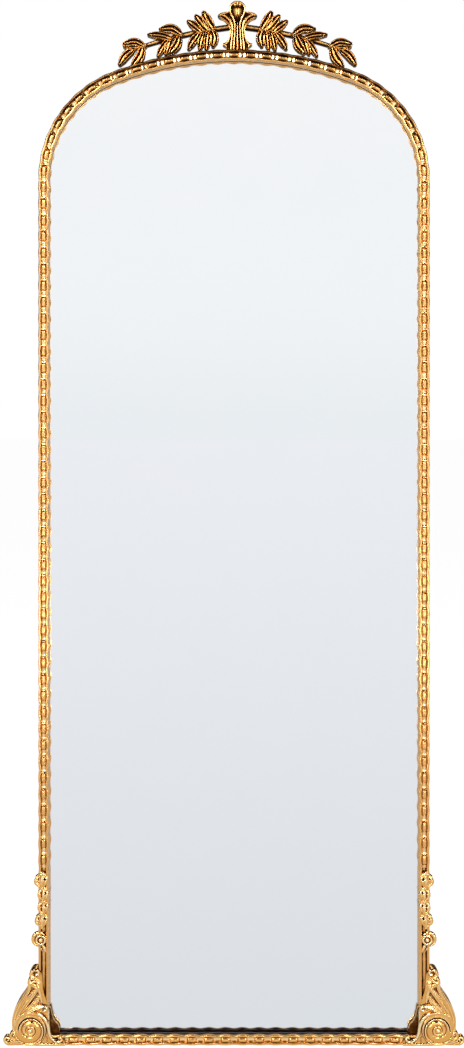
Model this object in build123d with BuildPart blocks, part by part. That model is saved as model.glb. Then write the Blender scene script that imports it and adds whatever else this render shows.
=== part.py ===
from build123d import *
import math
import os

os.makedirs("parts", exist_ok=True)

# All sizes are in millimetres. X runs to the right, Y back towards the wall, Z up from the floor.
# Across the moulding, an inset is measured inwards from its outer edge.
# A depth is measured back from the front of the moulding's lips; the relief of the castings
# stands in front of them, at negative depths.

# Overall sizes of the arched frame
frame_width = 685.0
frame_height = 1745.0
arch_rise = 227.0
# How much the crown rises beyond the radius of the shoulder arcs
crown_lift = 25.6

# Moulding section
moulding_width = 18.0
lip_width = 4.3
channel_depth = 6.0
sight_depth = 13.0
rebate_width = 7.0

# Glazing, from the front to the back
tape_thickness = 0.8
tape_width = 4.5
glass_thickness = 4.0
silver_thickness = 0.3
packing_thickness = 1.5
panel_thickness = 9.0
glass_clearance = 1.0
panel_inset = 2.0

# Beading laid in the channel
bead_length = 16.0
bead_side_clearance = 0.3
bead_axis_lift = 2.0
bead_neck_radius = 2.2
bead_core_radius = 1.4
side_bead_pitch = 28.7
rail_bead_pitch = 29.6

# Joinery
dowel_wall = 1.0
dowel_length = 40.0
key_leg = 26.0
key_thickness = 3.0

# Screws that hold the back panel, and the screws of the hangers
screw_radius = 1.75
screw_hole_radius = 2.0
screw_head_radius = 3.2
screw_head_height = 1.8
screw_bite = 7.4
screws_per_stile = 7
screws_per_shoulder = 2
screws_per_crown = 4
screws_per_rail = 4
screw_end_margin = 50.0

# Setting blocks under the glass
block_length = 30.0
block_spread = 150.0

# Castings of the feet; a relief stands in front of the lips
ornament_relief = 8.0
volute_radius = 28.0
volute_outset = 14.5
bracket_relief = 3.0
web_front_depth = 4.0
curl_reach = 28.5
acanthus_height = 135.5
acanthus_relief = 4.0
# From the middle of the stile's channel out to the leaf's inner edge
acanthus_root_gap = 2.5
toe_relief = 2.0
toe_back_depth = 12.0
# Raised turns of the volute, as (distance in from its edge, relief)
volute_turns = ((3.0, 4.5), (13.0, 6.5), (24.0, ornament_relief))

# Castings up the stile, with the bare channel and the gaps between them
reeded_length = 36.0
rosette_radius = 14.0
rosette_shift = 6.5
rosette_gap = 5.5
beading_gap = 6.0
husk_relief = 3.0
# Steps of the rosette, as (distance in from its edge, relief)
rosette_steps = ((0.0, 2.0), (6.0, 3.5), (10.0, 5.0))
# Husks from the bottom: shift from the channel's middle, height above the drop's foot,
# half width and half height
husks = (
    (2.5, 14.5, 11.0, 14.5),
    (0.0, 37.5, 9.5, 14.0),
    (0.0, 60.5, 9.5, 14.0),
    (3.0, 84.0, 12.0, 14.5),
)

# Crest; the pins enter the arch by their bite and the castings by their rise
crest_shift = 6.0
crest_back_depth = 15.0
branch_back_depth = 13.0
palmette_relief = 1.0
palmette_rib_relief = 4.5
palmette_rib_width = 8.0
palmette_rib_height = 70.0
palmette_bulb_height = 70.5
palmette_bulb_radius = 11.0
leaf_front_depth = 1.0
stem_radius = 4.2
pin_bite = 8.0
pin_rise = 8.5
palmette_pin_out = 7.0
palmette_pin_radius = 1.5
branch_pin_outs = (54.3, 183.5)
branch_pin_radius = 1.0

# Hangers
hanger_inset = 112.5
hanger_drop = 138.0
strap_width = 16.0
strap_length = 42.0
strap_thickness = 1.2
strap_joggle = 0.5
strap_end_radius = 6.0
strap_screw_drops = (11.0, 32.0)
ring_wire_radius = 2.0
ring_running_clearance = 0.08
ring_half_width = 13.0
ring_corner_radius = 4.0
ring_leg_length = 8.0
hanger_screw_length = 8.0

# Standing and leaning
foot_pad_thickness = 1.5
foot_pad_length = 40.0
foot_pad_width = 12.0
foot_pad_inset = 12.5
bumper_height = 8.0
bumper_radius = 8.0
bumper_tip_radius = 6.5
lower_bumper_inset = 42.5
lower_bumper_height = 58.5
upper_bumper_inset = 92.5
upper_bumper_rise = 42.0

# Worked out from the sizes above
half_width = frame_width / 2
frame_base = foot_pad_thickness
spring_height = frame_height - arch_rise
channel_middle = moulding_width / 2
rebate_inset = moulding_width - rebate_width
tape_back = sight_depth + tape_thickness
glass_back = tape_back + glass_thickness
silver_back = glass_back + silver_thickness
moulding_depth = silver_back + packing_thickness
panel_back = moulding_depth + panel_thickness
wall_depth = panel_back + bumper_height
lip_y = ornament_relief - (ornament_relief + wall_depth) / 2

# The solid web between the channel's floor and the sight edge carries dowels, keys and pins
core_depth = (channel_depth + sight_depth) / 2
dowel_radius = (sight_depth - channel_depth) / 2 - dowel_wall
bead_radius = channel_middle - lip_width - bead_side_clearance
bead_y = lip_y + channel_depth - bead_axis_lift
screw_inset = (panel_inset + rebate_inset) / 2

# Castings stacked up the stile, and the ends of the beading beside them
rosette_out = half_width - channel_middle + rosette_shift
rosette_height = frame_base + acanthus_height + reeded_length + rosette_radius
husk_foot = rosette_height + rosette_radius + rosette_gap
husk_top = husk_foot + max(height + half_up for shift, height, half_across, half_up in husks)
stile_beading_foot = husk_top + beading_gap
rail_beading_end = half_width - moulding_width - curl_reach

# Hangers and bumpers
hanger_x = half_width - hanger_inset
hanger_height = spring_height - hanger_drop
bumper_spots = (
    (half_width - lower_bumper_inset, frame_base + lower_bumper_height),
    (half_width - upper_bumper_inset, spring_height + upper_bumper_rise),
)

# Three-centred arch: the crown's arc meets both shoulder arcs in line
shoulder_radius = arch_rise - crown_lift
shoulder_x = half_width - shoulder_radius
crown_radius = (shoulder_x**2 + arch_rise**2 - shoulder_radius**2) / (2 * crown_lift)
crown_centre = frame_height - crown_radius
crown_half_angle = math.degrees(math.atan2(shoulder_x, spring_height - crown_centre))
shoulder_angle = 90 - crown_half_angle
# Each arc: centre x, centre height, radius, start angle and sweep, from the right stile to the left
arch_arcs = (
    (shoulder_x, spring_height, shoulder_radius, 0.0, shoulder_angle),
    (0.0, crown_centre, crown_radius, shoulder_angle, 2 * crown_half_angle),
    (-shoulder_x, spring_height, shoulder_radius, 90 + crown_half_angle, shoulder_angle),
)
sides = (("right", 1), ("left", -1))


# Planes, outlines and sections shared by several pieces

def front_plane(depth):
    """Upright plane facing the viewer, at a depth behind the lips."""
    return Plane.XZ.offset(-(lip_y + depth))


def foot_plane(depth, out=0.0):
    """Upright plane with its origin at the frame's lower right corner, or further out."""
    return Plane(origin=(half_width + out, lip_y + depth, frame_base), x_dir=(1, 0, 0), z_dir=(0, -1, 0))


def crest_plane(depth):
    """Upright plane with its origin where the crest's axis meets the arch's outer crown."""
    return Plane(origin=(crest_shift, lip_y + depth, frame_height), x_dir=(1, 0, 0), z_dir=(0, -1, 0))


def section_plane(origin, outward):
    """Plane across the moulding: local x points outwards and local y points back."""
    return Plane(origin=origin, x_dir=outward, z_dir=Vector(*outward).cross(Vector(0, 1, 0)))


def arch_direction(angle):
    """Unit vector from an arch centre towards the moulding."""
    return (math.cos(math.radians(angle)), 0, math.sin(math.radians(angle)))


def arch_spot(arc, angle, inset):
    """Point in the frame's plane on one arc of the arch."""
    centre_x, centre_z, radius, start, sweep = arc
    across, _, up = arch_direction(angle)
    return centre_x + (radius - inset) * across, centre_z + (radius - inset) * up


def arch_drop(out):
    """How far the arch's outer edge lies below its crown, at a distance from the middle."""
    crown_reach = crown_radius * math.sin(math.radians(crown_half_angle))
    if abs(out) <= crown_reach:
        return crown_radius - math.sqrt(crown_radius**2 - out**2)
    return arch_rise - math.sqrt(shoulder_radius**2 - (abs(out) - shoulder_x) ** 2)


def frame_outline(inset, depth):
    """Arched outline of the frame, set in from its outer edge on every side."""
    side = half_width - inset
    base = frame_base + inset
    with BuildSketch(front_plane(depth)) as outline:
        with BuildLine():
            Polyline((-side, spring_height), (-side, base), (side, base), (side, spring_height))
            for centre_x, centre_z, radius, start, sweep in arch_arcs:
                CenterArc((centre_x, centre_z), radius - inset, start, sweep)
        make_face()
    return outline.sketch


def moulding_section(origin, outward):
    """Section of the moulding: two rounded lips, the channel between them and the rebate."""
    lip_radius = lip_width / 2
    with BuildSketch(section_plane(origin, outward)) as section:
        with BuildLine():
            Line((0, moulding_depth), (0, lip_radius))
            ThreePointArc((0, lip_radius), (-lip_radius, 0), (-lip_width, lip_radius))
            Polyline(
                (-lip_width, lip_radius),
                (-lip_width, channel_depth),
                (lip_width - moulding_width, channel_depth),
                (lip_width - moulding_width, lip_radius),
            )
            ThreePointArc(
                (lip_width - moulding_width, lip_radius),
                (lip_radius - moulding_width, 0),
                (-moulding_width, lip_radius),
            )
            Polyline(
                (-moulding_width, lip_radius),
                (-moulding_width, sight_depth),
                (-rebate_inset, sight_depth),
                (-rebate_inset, moulding_depth),
                (0, moulding_depth),
            )
        make_face()
    return section.sketch


def arch_blank():
    """Arch moulding before it is drilled."""
    with BuildPart() as blank:
        for arc in arch_arcs:
            centre_x, centre_z, radius, start, sweep = arc
            x, z = arch_spot(arc, start, 0)
            section = moulding_section((x, lip_y, z), arch_direction(start))
            revolve(section, axis=Axis((centre_x, 0, centre_z), (0, -1, 0)), revolution_arc=sweep)
    return blank.part


def mitre_plane(side):
    """Plane of the mitre at a lower corner, facing up into the stile."""
    return Plane(origin=(side * half_width, 0, frame_base), x_dir=(0, 1, 0), z_dir=(side, 0, 1))


def stile_blank(side):
    """Stile moulding before it is drilled, mitred at its foot."""
    with BuildPart() as blank:
        section = moulding_section((side * half_width, lip_y, frame_base), (side, 0, 0))
        extrude(section, amount=side * (spring_height - frame_base))
        split(bisect_by=mitre_plane(side), keep=Keep.TOP)
    return blank.part


def rail_blank():
    """Bottom rail moulding before it is drilled, mitred at both ends."""
    with BuildPart() as blank:
        section = moulding_section((-half_width, lip_y, frame_base), (0, 0, -1))
        extrude(section, amount=frame_width)
        for _, side in sides:
            split(bisect_by=mitre_plane(side), keep=Keep.BOTTOM)
    return blank.part


def panel_screw_spots():
    """Places of the back panel's screws, as (x, z), spread evenly along each moulding."""
    spots = []
    stile_foot = frame_base + screw_end_margin
    stile_step = (spring_height - screw_end_margin - stile_foot) / (screws_per_stile - 1)
    for _, side in sides:
        for index in range(screws_per_stile):
            spots.append((side * (half_width - screw_inset), stile_foot + index * stile_step))
    for arc, count in zip(arch_arcs, (screws_per_shoulder, screws_per_crown, screws_per_shoulder)):
        for index in range(count):
            angle = arc[3] + arc[4] * (index + 0.5) / count
            spots.append(arch_spot(arc, angle, screw_inset))
    rail_end = half_width - screw_inset - screw_end_margin
    for index in range(screws_per_rail):
        spots.append((rail_end * (2 * index / (screws_per_rail - 1) - 1), frame_base + screw_inset))
    return spots


def back_holes(spots, radius, front, back):
    """Round holes bored along Y between two depths, to be cut from a piece."""
    with BuildSketch(front_plane(back)) as holes:
        with Locations(*spots):
            Circle(radius)
    return extrude(holes.sketch, amount=back - front, mode=Mode.PRIVATE)


def screw_set(spots, head_depth, tip_depth):
    """Pan-head screws driven in from the back: the heads stand behind the head depth."""
    with BuildPart() as screws:
        with BuildSketch(front_plane(head_depth + screw_head_height)):
            with Locations(*spots):
                Circle(screw_head_radius)
        extrude(amount=screw_head_height)
        with BuildSketch(front_plane(head_depth)):
            with Locations(*spots):
                Circle(screw_radius)
        extrude(amount=head_depth - tip_depth)
    return screws.part


def joint_dowel(side):
    """Dowel across the joint between the arch and a stile."""
    middle = (side * (half_width - channel_middle), lip_y + core_depth, spring_height)
    with BuildPart() as dowel:
        with Locations(middle):
            Cylinder(dowel_radius, dowel_length)
    return dowel.part


def corner_key(side):
    """Thin triangular key let into the outside of a lower mitre."""
    corner = side * half_width
    with BuildPart() as key:
        with BuildSketch(front_plane(core_depth + key_thickness / 2)):
            with BuildLine():
                Polyline(
                    (corner, frame_base),
                    (corner, frame_base + key_leg),
                    (corner - side * key_leg, frame_base),
                    close=True,
                )
            make_face()
        extrude(amount=key_thickness)
    return key.part


def crest_pin(x, radius):
    """Upright pin that enters the arch and the casting that stands on it."""
    middle = frame_height - arch_drop(x) + (pin_rise - pin_bite) / 2
    with BuildPart() as pin:
        with Locations((x, lip_y + core_depth, middle)):
            Cylinder(radius, pin_bite + pin_rise)
    return pin.part


def palmette_pins():
    """Both pins of the palmette."""
    return [crest_pin(crest_shift + side * palmette_pin_out, palmette_pin_radius) for _, side in sides]


def branch_pins(side):
    """Both pins of one branch."""
    return [crest_pin(crest_shift + side * out, branch_pin_radius) for out in branch_pin_outs]


screw_spots = panel_screw_spots()
pilot_holes = back_holes(screw_spots, screw_radius, moulding_depth - screw_bite, moulding_depth)
envelope = extrude(frame_outline(0, wall_depth), amount=wall_depth + ornament_relief, mode=Mode.PRIVATE)

# Mouldings
with BuildPart() as arch_moulding:
    add(arch_blank())
    add(pilot_holes, mode=Mode.SUBTRACT)
    add(palmette_pins(), mode=Mode.SUBTRACT)
    for _, side in sides:
        add(joint_dowel(side), mode=Mode.SUBTRACT)
        add(branch_pins(side), mode=Mode.SUBTRACT)
arch_moulding.part.label = "arch_moulding"
export_step(arch_moulding.part, "parts/arch_moulding.step")

for side_name, side in sides:
    with BuildPart() as stile_moulding:
        add(stile_blank(side))
        add(pilot_holes, mode=Mode.SUBTRACT)
        add(joint_dowel(side), mode=Mode.SUBTRACT)
        add(corner_key(side), mode=Mode.SUBTRACT)
    stile_moulding.part.label = f"{side_name}_stile_moulding"
    export_step(stile_moulding.part, f"parts/{side_name}_stile_moulding.step")

with BuildPart() as bottom_rail_moulding:
    add(rail_blank())
    add(pilot_holes, mode=Mode.SUBTRACT)
    for _, side in sides:
        add(corner_key(side), mode=Mode.SUBTRACT)
bottom_rail_moulding.part.label = "bottom_rail_moulding"
export_step(bottom_rail_moulding.part, "parts/bottom_rail_moulding.step")

with BuildPart() as joint_dowels:
    for _, side in sides:
        add(joint_dowel(side))
joint_dowels.part.label = "joint_dowels"
export_step(joint_dowels.part, "parts/joint_dowels.step")

with BuildPart() as corner_keys:
    for _, side in sides:
        add(corner_key(side))
corner_keys.part.label = "corner_keys"
export_step(corner_keys.part, "parts/corner_keys.step")


# Beading

def straight_beading(start, direction, length, pitch):
    """Straight strip of beads, turned about its own axis and cut flat where it beds."""
    count = round(length / pitch)
    step = length / count
    bulge = bead_radius - bead_neck_radius
    reach = bulge * math.sin(math.radians(45))
    across = Vector(0, -1, 0)
    plane = Plane(origin=start, x_dir=direction, z_dir=Vector(*direction).cross(across))
    with BuildPart() as strip:
        with BuildSketch(plane):
            with BuildLine():
                Polyline((length, bead_neck_radius), (length, 0), (0, 0), (0, bead_neck_radius))
                for index in range(count):
                    neck_end = index * step + (step - bead_length) / 2
                    bead_end = neck_end + bead_length
                    Line((index * step, bead_neck_radius), (neck_end, bead_neck_radius))
                    ThreePointArc(
                        (neck_end, bead_neck_radius),
                        (neck_end + bulge - reach, bead_neck_radius + reach),
                        (neck_end + bulge, bead_radius),
                    )
                    Line((neck_end + bulge, bead_radius), (bead_end - bulge, bead_radius))
                    ThreePointArc(
                        (bead_end - bulge, bead_radius),
                        (bead_end - bulge + reach, bead_neck_radius + reach),
                        (bead_end, bead_neck_radius),
                    )
                    Line((bead_end, bead_neck_radius), ((index + 1) * step, bead_neck_radius))
            make_face()
        revolve(axis=Axis(start, direction))
        split(bisect_by=front_plane(channel_depth), keep=Keep.TOP)
    return strip.part


for side_name, side in sides:
    with BuildPart() as stile_beading:
        add(straight_beading(
            (side * (half_width - channel_middle), bead_y, stile_beading_foot),
            (0, 0, 1),
            spring_height - stile_beading_foot,
            side_bead_pitch,
        ))
    stile_beading.part.label = f"{side_name}_stile_beading"
    export_step(stile_beading.part, f"parts/{side_name}_stile_beading.step")

with BuildPart() as bottom_rail_beading:
    add(straight_beading(
        (-rail_beading_end, bead_y, frame_base + channel_middle),
        (1, 0, 0),
        2 * rail_beading_end,
        rail_bead_pitch,
    ))
bottom_rail_beading.part.label = "bottom_rail_beading"
export_step(bottom_rail_beading.part, "parts/bottom_rail_beading.step")


def single_bead():
    """One barrel bead lying along X, with rounded ends."""
    rounding = bead_radius - bead_core_radius
    reach = rounding * math.sin(math.radians(45))
    end = bead_length / 2
    with BuildPart() as bead:
        with BuildSketch():
            with BuildLine():
                Polyline((-end, bead_core_radius), (-end, 0), (end, 0), (end, bead_core_radius))
                ThreePointArc(
                    (end, bead_core_radius),
                    (end - rounding + reach, bead_core_radius + reach),
                    (end - rounding, bead_radius),
                )
                Line((end - rounding, bead_radius), (rounding - end, bead_radius))
                ThreePointArc(
                    (rounding - end, bead_radius),
                    (rounding - end - reach, bead_core_radius + reach),
                    (-end, bead_core_radius),
                )
            make_face()
        revolve(axis=Axis.X)
    return bead.part


def arch_bead_places():
    """Frames of the arch's beads, evenly spaced along the channel's middle."""
    lengths = [math.radians(arc[4]) * (arc[2] - channel_middle) for arc in arch_arcs]
    count = round(sum(lengths) / side_bead_pitch)
    places = []
    for index in range(count):
        distance = sum(lengths) * (index + 0.5) / count
        for arc, length in zip(arch_arcs, lengths):
            if distance <= length:
                angle = arc[3] + arc[4] * distance / length
                x, z = arch_spot(arc, angle, channel_middle)
                along = arch_direction(angle + 90)
                places.append(Plane(origin=(x, bead_y, z), x_dir=along, z_dir=(0, -1, 0)))
                break
            distance -= length
    return places


with BuildPart() as arch_beading:
    for arc in arch_arcs:
        x, z = arch_spot(arc, arc[3], channel_middle)
        with BuildSketch(section_plane((x, bead_y, z), arch_direction(arc[3]))) as neck:
            Circle(bead_neck_radius)
        revolve(neck.sketch, axis=Axis((arc[0], 0, arc[1]), (0, -1, 0)), revolution_arc=arc[4])
    with Locations(*arch_bead_places()):
        add(single_bead())
    split(bisect_by=front_plane(channel_depth), keep=Keep.TOP)
arch_beading.part.label = "arch_beading"
export_step(arch_beading.part, "parts/arch_beading.step")


# Glazing

def arched_plate(inset, front, back):
    """Plate with the frame's outline, between two depths."""
    with BuildPart() as plate:
        extrude(frame_outline(inset, back), amount=back - front)
    return plate.part


glass_inset = rebate_inset + glass_clearance

with BuildPart() as glazing_tape:
    add(arched_plate(moulding_width - glass_clearance - tape_width, sight_depth, tape_back))
    add(arched_plate(moulding_width - glass_clearance, sight_depth, tape_back), mode=Mode.SUBTRACT)
glazing_tape.part.label = "glazing_tape"
export_step(glazing_tape.part, "parts/glazing_tape.step")

with BuildPart() as mirror_glass:
    add(arched_plate(glass_inset, tape_back, glass_back))
mirror_glass.part.label = "mirror_glass"
export_step(mirror_glass.part, "parts/mirror_glass.step")

with BuildPart() as silver_coating:
    add(arched_plate(glass_inset, glass_back, silver_back))
silver_coating.part.label = "silver_coating"
export_step(silver_coating.part, "parts/silver_coating.step")

with BuildPart() as packing_sheet:
    add(arched_plate(glass_inset, silver_back, moulding_depth))
packing_sheet.part.label = "packing_sheet"
export_step(packing_sheet.part, "parts/packing_sheet.step")

with BuildPart() as setting_blocks:
    for _, side in sides:
        middle_depth = (tape_back + glass_back) / 2
        middle_height = frame_base + rebate_inset + glass_clearance / 2
        with Locations((side * block_spread, lip_y + middle_depth, middle_height)):
            Box(block_length, glass_thickness, glass_clearance)
setting_blocks.part.label = "setting_blocks"
export_step(setting_blocks.part, "parts/setting_blocks.step")

# Back panel, with its screws and the hangers' screws
hanger_screw_spots = [
    (side * hanger_x, hanger_height - drop) for _, side in sides for drop in strap_screw_drops
]
strap_back = panel_back + strap_thickness

with BuildPart() as back_panel:
    add(arched_plate(panel_inset, moulding_depth, panel_back))
    add(back_holes(screw_spots, screw_hole_radius, moulding_depth, panel_back), mode=Mode.SUBTRACT)
    add(
        back_holes(hanger_screw_spots, screw_radius, strap_back - hanger_screw_length, panel_back),
        mode=Mode.SUBTRACT,
    )
back_panel.part.label = "back_panel"
export_step(back_panel.part, "parts/back_panel.step")

with BuildPart() as back_panel_screws:
    add(screw_set(screw_spots, panel_back, moulding_depth - screw_bite))
back_panel_screws.part.label = "back_panel_screws"
export_step(back_panel_screws.part, "parts/back_panel_screws.step")

with BuildPart() as hanger_screws:
    add(screw_set(hanger_screw_spots, strap_back, strap_back - hanger_screw_length))
hanger_screws.part.label = "hanger_screws"
export_step(hanger_screws.part, "parts/hanger_screws.step")

# Hangers: a strap whose rolled knuckle carries a ring that hangs down over it
knuckle_bore_radius = ring_wire_radius + ring_running_clearance
knuckle_radius = knuckle_bore_radius + strap_thickness
ring_axis_depth = panel_back + strap_joggle + knuckle_radius

for side_name, side in sides:
    middle_x = side * hanger_x
    with BuildPart() as hanger_strap:
        with BuildSketch(Plane.YZ.offset(middle_x - strap_width / 2)):
            with Locations((lip_y + panel_back, hanger_height + ring_wire_radius)):
                Rectangle(
                    strap_thickness,
                    strap_length + ring_wire_radius,
                    align=(Align.MIN, Align.MAX),
                )
            with Locations((lip_y + ring_axis_depth, hanger_height)):
                Circle(knuckle_radius)
                Circle(knuckle_bore_radius, mode=Mode.SUBTRACT)
        extrude(amount=strap_width)
        lower_corners = edges().filter_by(Axis.Y).group_by(Axis.Z)[0]
        fillet(lower_corners, radius=strap_end_radius)
        with BuildSketch(front_plane(strap_back)):
            with Locations(*[(middle_x, hanger_height - drop) for drop in strap_screw_drops]):
                Circle(screw_radius)
        extrude(amount=strap_thickness, mode=Mode.SUBTRACT)
    hanger_strap.part.label = f"{side_name}_hanger_strap"
    export_step(hanger_strap.part, f"parts/{side_name}_hanger_strap.step")

    ring_plane = Plane(
        origin=(middle_x, lip_y + ring_axis_depth, hanger_height), x_dir=(1, 0, 0), z_dir=(0, -1, 0)
    )
    with BuildPart() as hanger_ring:
        with BuildLine(ring_plane) as ring_path:
            bar_end = ring_half_width - ring_corner_radius
            Line((0, 0), (bar_end, 0))
            RadiusArc((bar_end, 0), (ring_half_width, -ring_corner_radius), ring_corner_radius)
            Line((ring_half_width, -ring_corner_radius), (ring_half_width, -ring_leg_length))
            RadiusArc(
                (ring_half_width, -ring_leg_length),
                (-ring_half_width, -ring_leg_length),
                ring_half_width,
            )
            Line((-ring_half_width, -ring_leg_length), (-ring_half_width, -ring_corner_radius))
            RadiusArc((-ring_half_width, -ring_corner_radius), (-bar_end, 0), ring_corner_radius)
            Line((-bar_end, 0), (0, 0))
        with BuildSketch(Plane(origin=ring_path.wire() @ 0, x_dir=(0, 1, 0), z_dir=(1, 0, 0))):
            Circle(ring_wire_radius)
        sweep(path=ring_path.wire())
    hanger_ring.part.label = f"{side_name}_hanger_ring"
    export_step(hanger_ring.part, f"parts/{side_name}_hanger_ring.step")

# Rubber bumpers that meet the wall, and felt pads that meet the floor
with BuildPart() as wall_bumper:
    for depth, radius in ((panel_back, bumper_radius), (wall_depth, bumper_tip_radius)):
        with BuildSketch(front_plane(depth)):
            Circle(radius)
    loft()

with BuildPart() as wall_bumpers:
    with Locations(*[(side * x, 0, z) for _, side in sides for x, z in bumper_spots]):
        add(wall_bumper.part)
wall_bumpers.part.label = "wall_bumpers"
export_step(wall_bumpers.part, "parts/wall_bumpers.step")

foot_pad_y = lip_y + moulding_depth / 2
with BuildPart() as foot_pads:
    for _, side in sides:
        with Locations((side * (half_width - foot_pad_inset), foot_pad_y, foot_pad_thickness / 2)):
            Box(foot_pad_length, foot_pad_width, foot_pad_thickness)
foot_pads.part.label = "foot_pads"
export_step(foot_pads.part, "parts/foot_pads.step")

# Castings at the feet. Each is drawn for the right side and mirrored for the left.
right_stile_blank = stile_blank(1)
bottom_rail_blank = rail_blank()
glazing_pocket = arched_plate(rebate_inset, sight_depth, moulding_depth)


def bracket_outline(depth):
    """Outline of the volute and of the scroll that runs from it onto the bottom rail."""
    sight = -moulding_width
    foot = sight - curl_reach
    crown = (volute_outset, 2 * volute_radius)
    with BuildSketch(foot_plane(depth)) as outline:
        with BuildLine():
            Line((foot, 0), (volute_outset, 0))
            ThreePointArc((volute_outset, 0), (volute_outset + volute_radius, volute_radius), crown)
            Polyline(crown, (-1.5, 59.5), (sight, 64.5))
            ThreePointArc((sight, 64.5), (sight - 1.9, 40.5), (sight - 4, 19.5))
            ThreePointArc((sight - 4, 19.5), (sight - 8, 10), (sight - 16.5, 6))
            Line((sight - 16.5, 6), (sight - 18, 11))
            ThreePointArc((sight - 18, 11), (sight - 22.5, 16), (sight - 27, 12))
            Line((sight - 27, 12), (foot, 0))
        make_face()
    return outline.sketch


def bracket_casting():
    """Volute bracket of the right foot, bedded over the mitre of stile and rail."""
    sight = -moulding_width
    with BuildPart() as casting:
        extrude(bracket_outline(moulding_depth), amount=moulding_depth + bracket_relief)
        # Web that fills the corner of the opening behind the scroll
        with BuildSketch(foot_plane(sight_depth)):
            with BuildLine():
                Polyline(
                    (sight + 1, 64.5),
                    (sight - 1.5, 64.5),
                    (sight - 14, moulding_width - 0.5),
                    (sight - 14, moulding_width - 5.5),
                    (sight + 1, moulding_width - 5.5),
                    close=True,
                )
            make_face()
        extrude(amount=sight_depth - web_front_depth)
        for turn_inset, relief in volute_turns:
            with BuildSketch(foot_plane(0)):
                with Locations((volute_outset, volute_radius)):
                    Circle(volute_radius - turn_inset)
            extrude(amount=relief)
        add(right_stile_blank, mode=Mode.SUBTRACT)
        add(bottom_rail_blank, mode=Mode.SUBTRACT)
        add(glazing_pocket, mode=Mode.SUBTRACT)
    return casting.part


right_bracket = bracket_casting()


def acanthus_casting():
    """Acanthus leaf that climbs from the volute to the stile."""
    top = acanthus_height
    root = acanthus_root_gap - channel_middle
    with BuildPart() as casting:
        with BuildSketch(foot_plane(moulding_depth)):
            with BuildLine():
                Line((root, 62.5), (root, top - 19))
                ThreePointArc((root, top - 19), (1.5, top), (14, top - 5.5))
                ThreePointArc((14, top - 5.5), (14, top - 13), (9, top - 17.5))
                ThreePointArc((9, top - 17.5), (19, top - 22.5), (17.5, top - 35.5))
                ThreePointArc((17.5, top - 35.5), (28, top - 49.5), (36.5, top - 66))
                ThreePointArc((36.5, top - 66), (42.8, 50.5), (44.3, volute_radius + 1.5))
                Polyline((44.3, volute_radius + 1.5), (volute_outset, volute_radius + 1.5), (root, 62.5))
            make_face()
        extrude(amount=moulding_depth + acanthus_relief)
        add(right_stile_blank, mode=Mode.SUBTRACT)
        add(right_bracket, mode=Mode.SUBTRACT)
    return casting.part


def toe_casting():
    """Small leaf that spreads the foot outwards, measured from the volute's outer edge."""
    with BuildPart() as casting:
        with BuildSketch(foot_plane(toe_back_depth, volute_outset + volute_radius)):
            with BuildLine():
                Line((-23, 0), (7, 0))
                ThreePointArc((7, 0), (16.5, 3), (19.3, 11.5))
                ThreePointArc((19.3, 11.5), (17.5, 16.5), (12, 17.1))
                Line((12, 17.1), (8.5, 14.5))
                ThreePointArc((8.5, 14.5), (7.5, 23.5), (1.5, 26))
                Polyline((1.5, 26), (-volute_radius, 26), (-23, 0))
            make_face()
        extrude(amount=toe_back_depth + toe_relief)
        add(right_bracket, mode=Mode.SUBTRACT)
    return casting.part


def husk_casting():
    """Drop of overlapping husks, bedded in the stile's channel."""
    with BuildPart() as casting:
        with BuildSketch(front_plane(channel_depth)):
            for shift, height, half_across, half_up in husks:
                with Locations((half_width - channel_middle + shift, husk_foot + height)):
                    Ellipse(half_across, half_up)
        extrude(amount=channel_depth + husk_relief)
        add(right_stile_blank, mode=Mode.SUBTRACT)
    return casting.part


def rosette_casting():
    """Round boss with a raised rim and button."""
    with BuildPart() as casting:
        for step_inset, relief in rosette_steps:
            with BuildSketch(front_plane(channel_depth)):
                with Locations((rosette_out, rosette_height)):
                    Circle(rosette_radius - step_inset)
            extrude(amount=channel_depth + relief)
        add(right_stile_blank, mode=Mode.SUBTRACT)
    return casting.part


foot_castings = (
    ("volute_bracket", right_bracket),
    ("acanthus_leaf", acanthus_casting()),
    ("toe_leaf", toe_casting()),
    ("husk_drop", husk_casting()),
    ("rosette", rosette_casting()),
)
for casting_name, right_casting in foot_castings:
    for side_name, side in sides:
        with BuildPart() as foot_casting:
            add(right_casting)
            if side < 0:
                mirror(about=Plane.YZ, mode=Mode.REPLACE)
        foot_casting.part.label = f"{side_name}_{casting_name}"
        export_step(foot_casting.part, f"parts/{side_name}_{casting_name}.step")


# Crest. Its outlines are measured from its own axis and from the arch's outer crown.

def palmette_outline(depth):
    """Bulb, two horns, waisted column and spread foot of the palmette."""
    with BuildSketch(crest_plane(depth)) as outline:
        with BuildLine():
            ThreePointArc((0, 84.5), (11.3, 80.5), (15.4, 71))
            ThreePointArc((15.4, 71), (15, 67.5), (13.8, 64.5))
            ThreePointArc((13.8, 64.5), (24, 66), (34.8, 59.5))
            Line((34.8, 59.5), (33, 55))
            ThreePointArc((33, 55), (21.5, 50.5), (15.5, 41))
            ThreePointArc((15.5, 41), (12.9, 32), (14, 23))
            ThreePointArc((14, 23), (18, 13.5), (26, 9.5))
            Polyline((26, 9.5), (25.5, 7.5), (18, -1.5), (15, -6), (0, -6))
            mirror(about=Plane.YZ)
        make_face()
    return outline.sketch


def palmette_casting():
    """Palmette at the middle of the crest, standing on the arch's crown."""
    with BuildPart() as casting:
        extrude(palmette_outline(crest_back_depth), amount=crest_back_depth + palmette_relief)
        with BuildSketch(crest_plane(0)):
            with Locations((0, palmette_bulb_height)):
                Circle(palmette_bulb_radius)
            Rectangle(palmette_rib_width, palmette_rib_height, align=(Align.CENTER, Align.MIN))
        extrude(amount=palmette_rib_relief)
        add(envelope, mode=Mode.SUBTRACT)
    return casting.part


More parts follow.
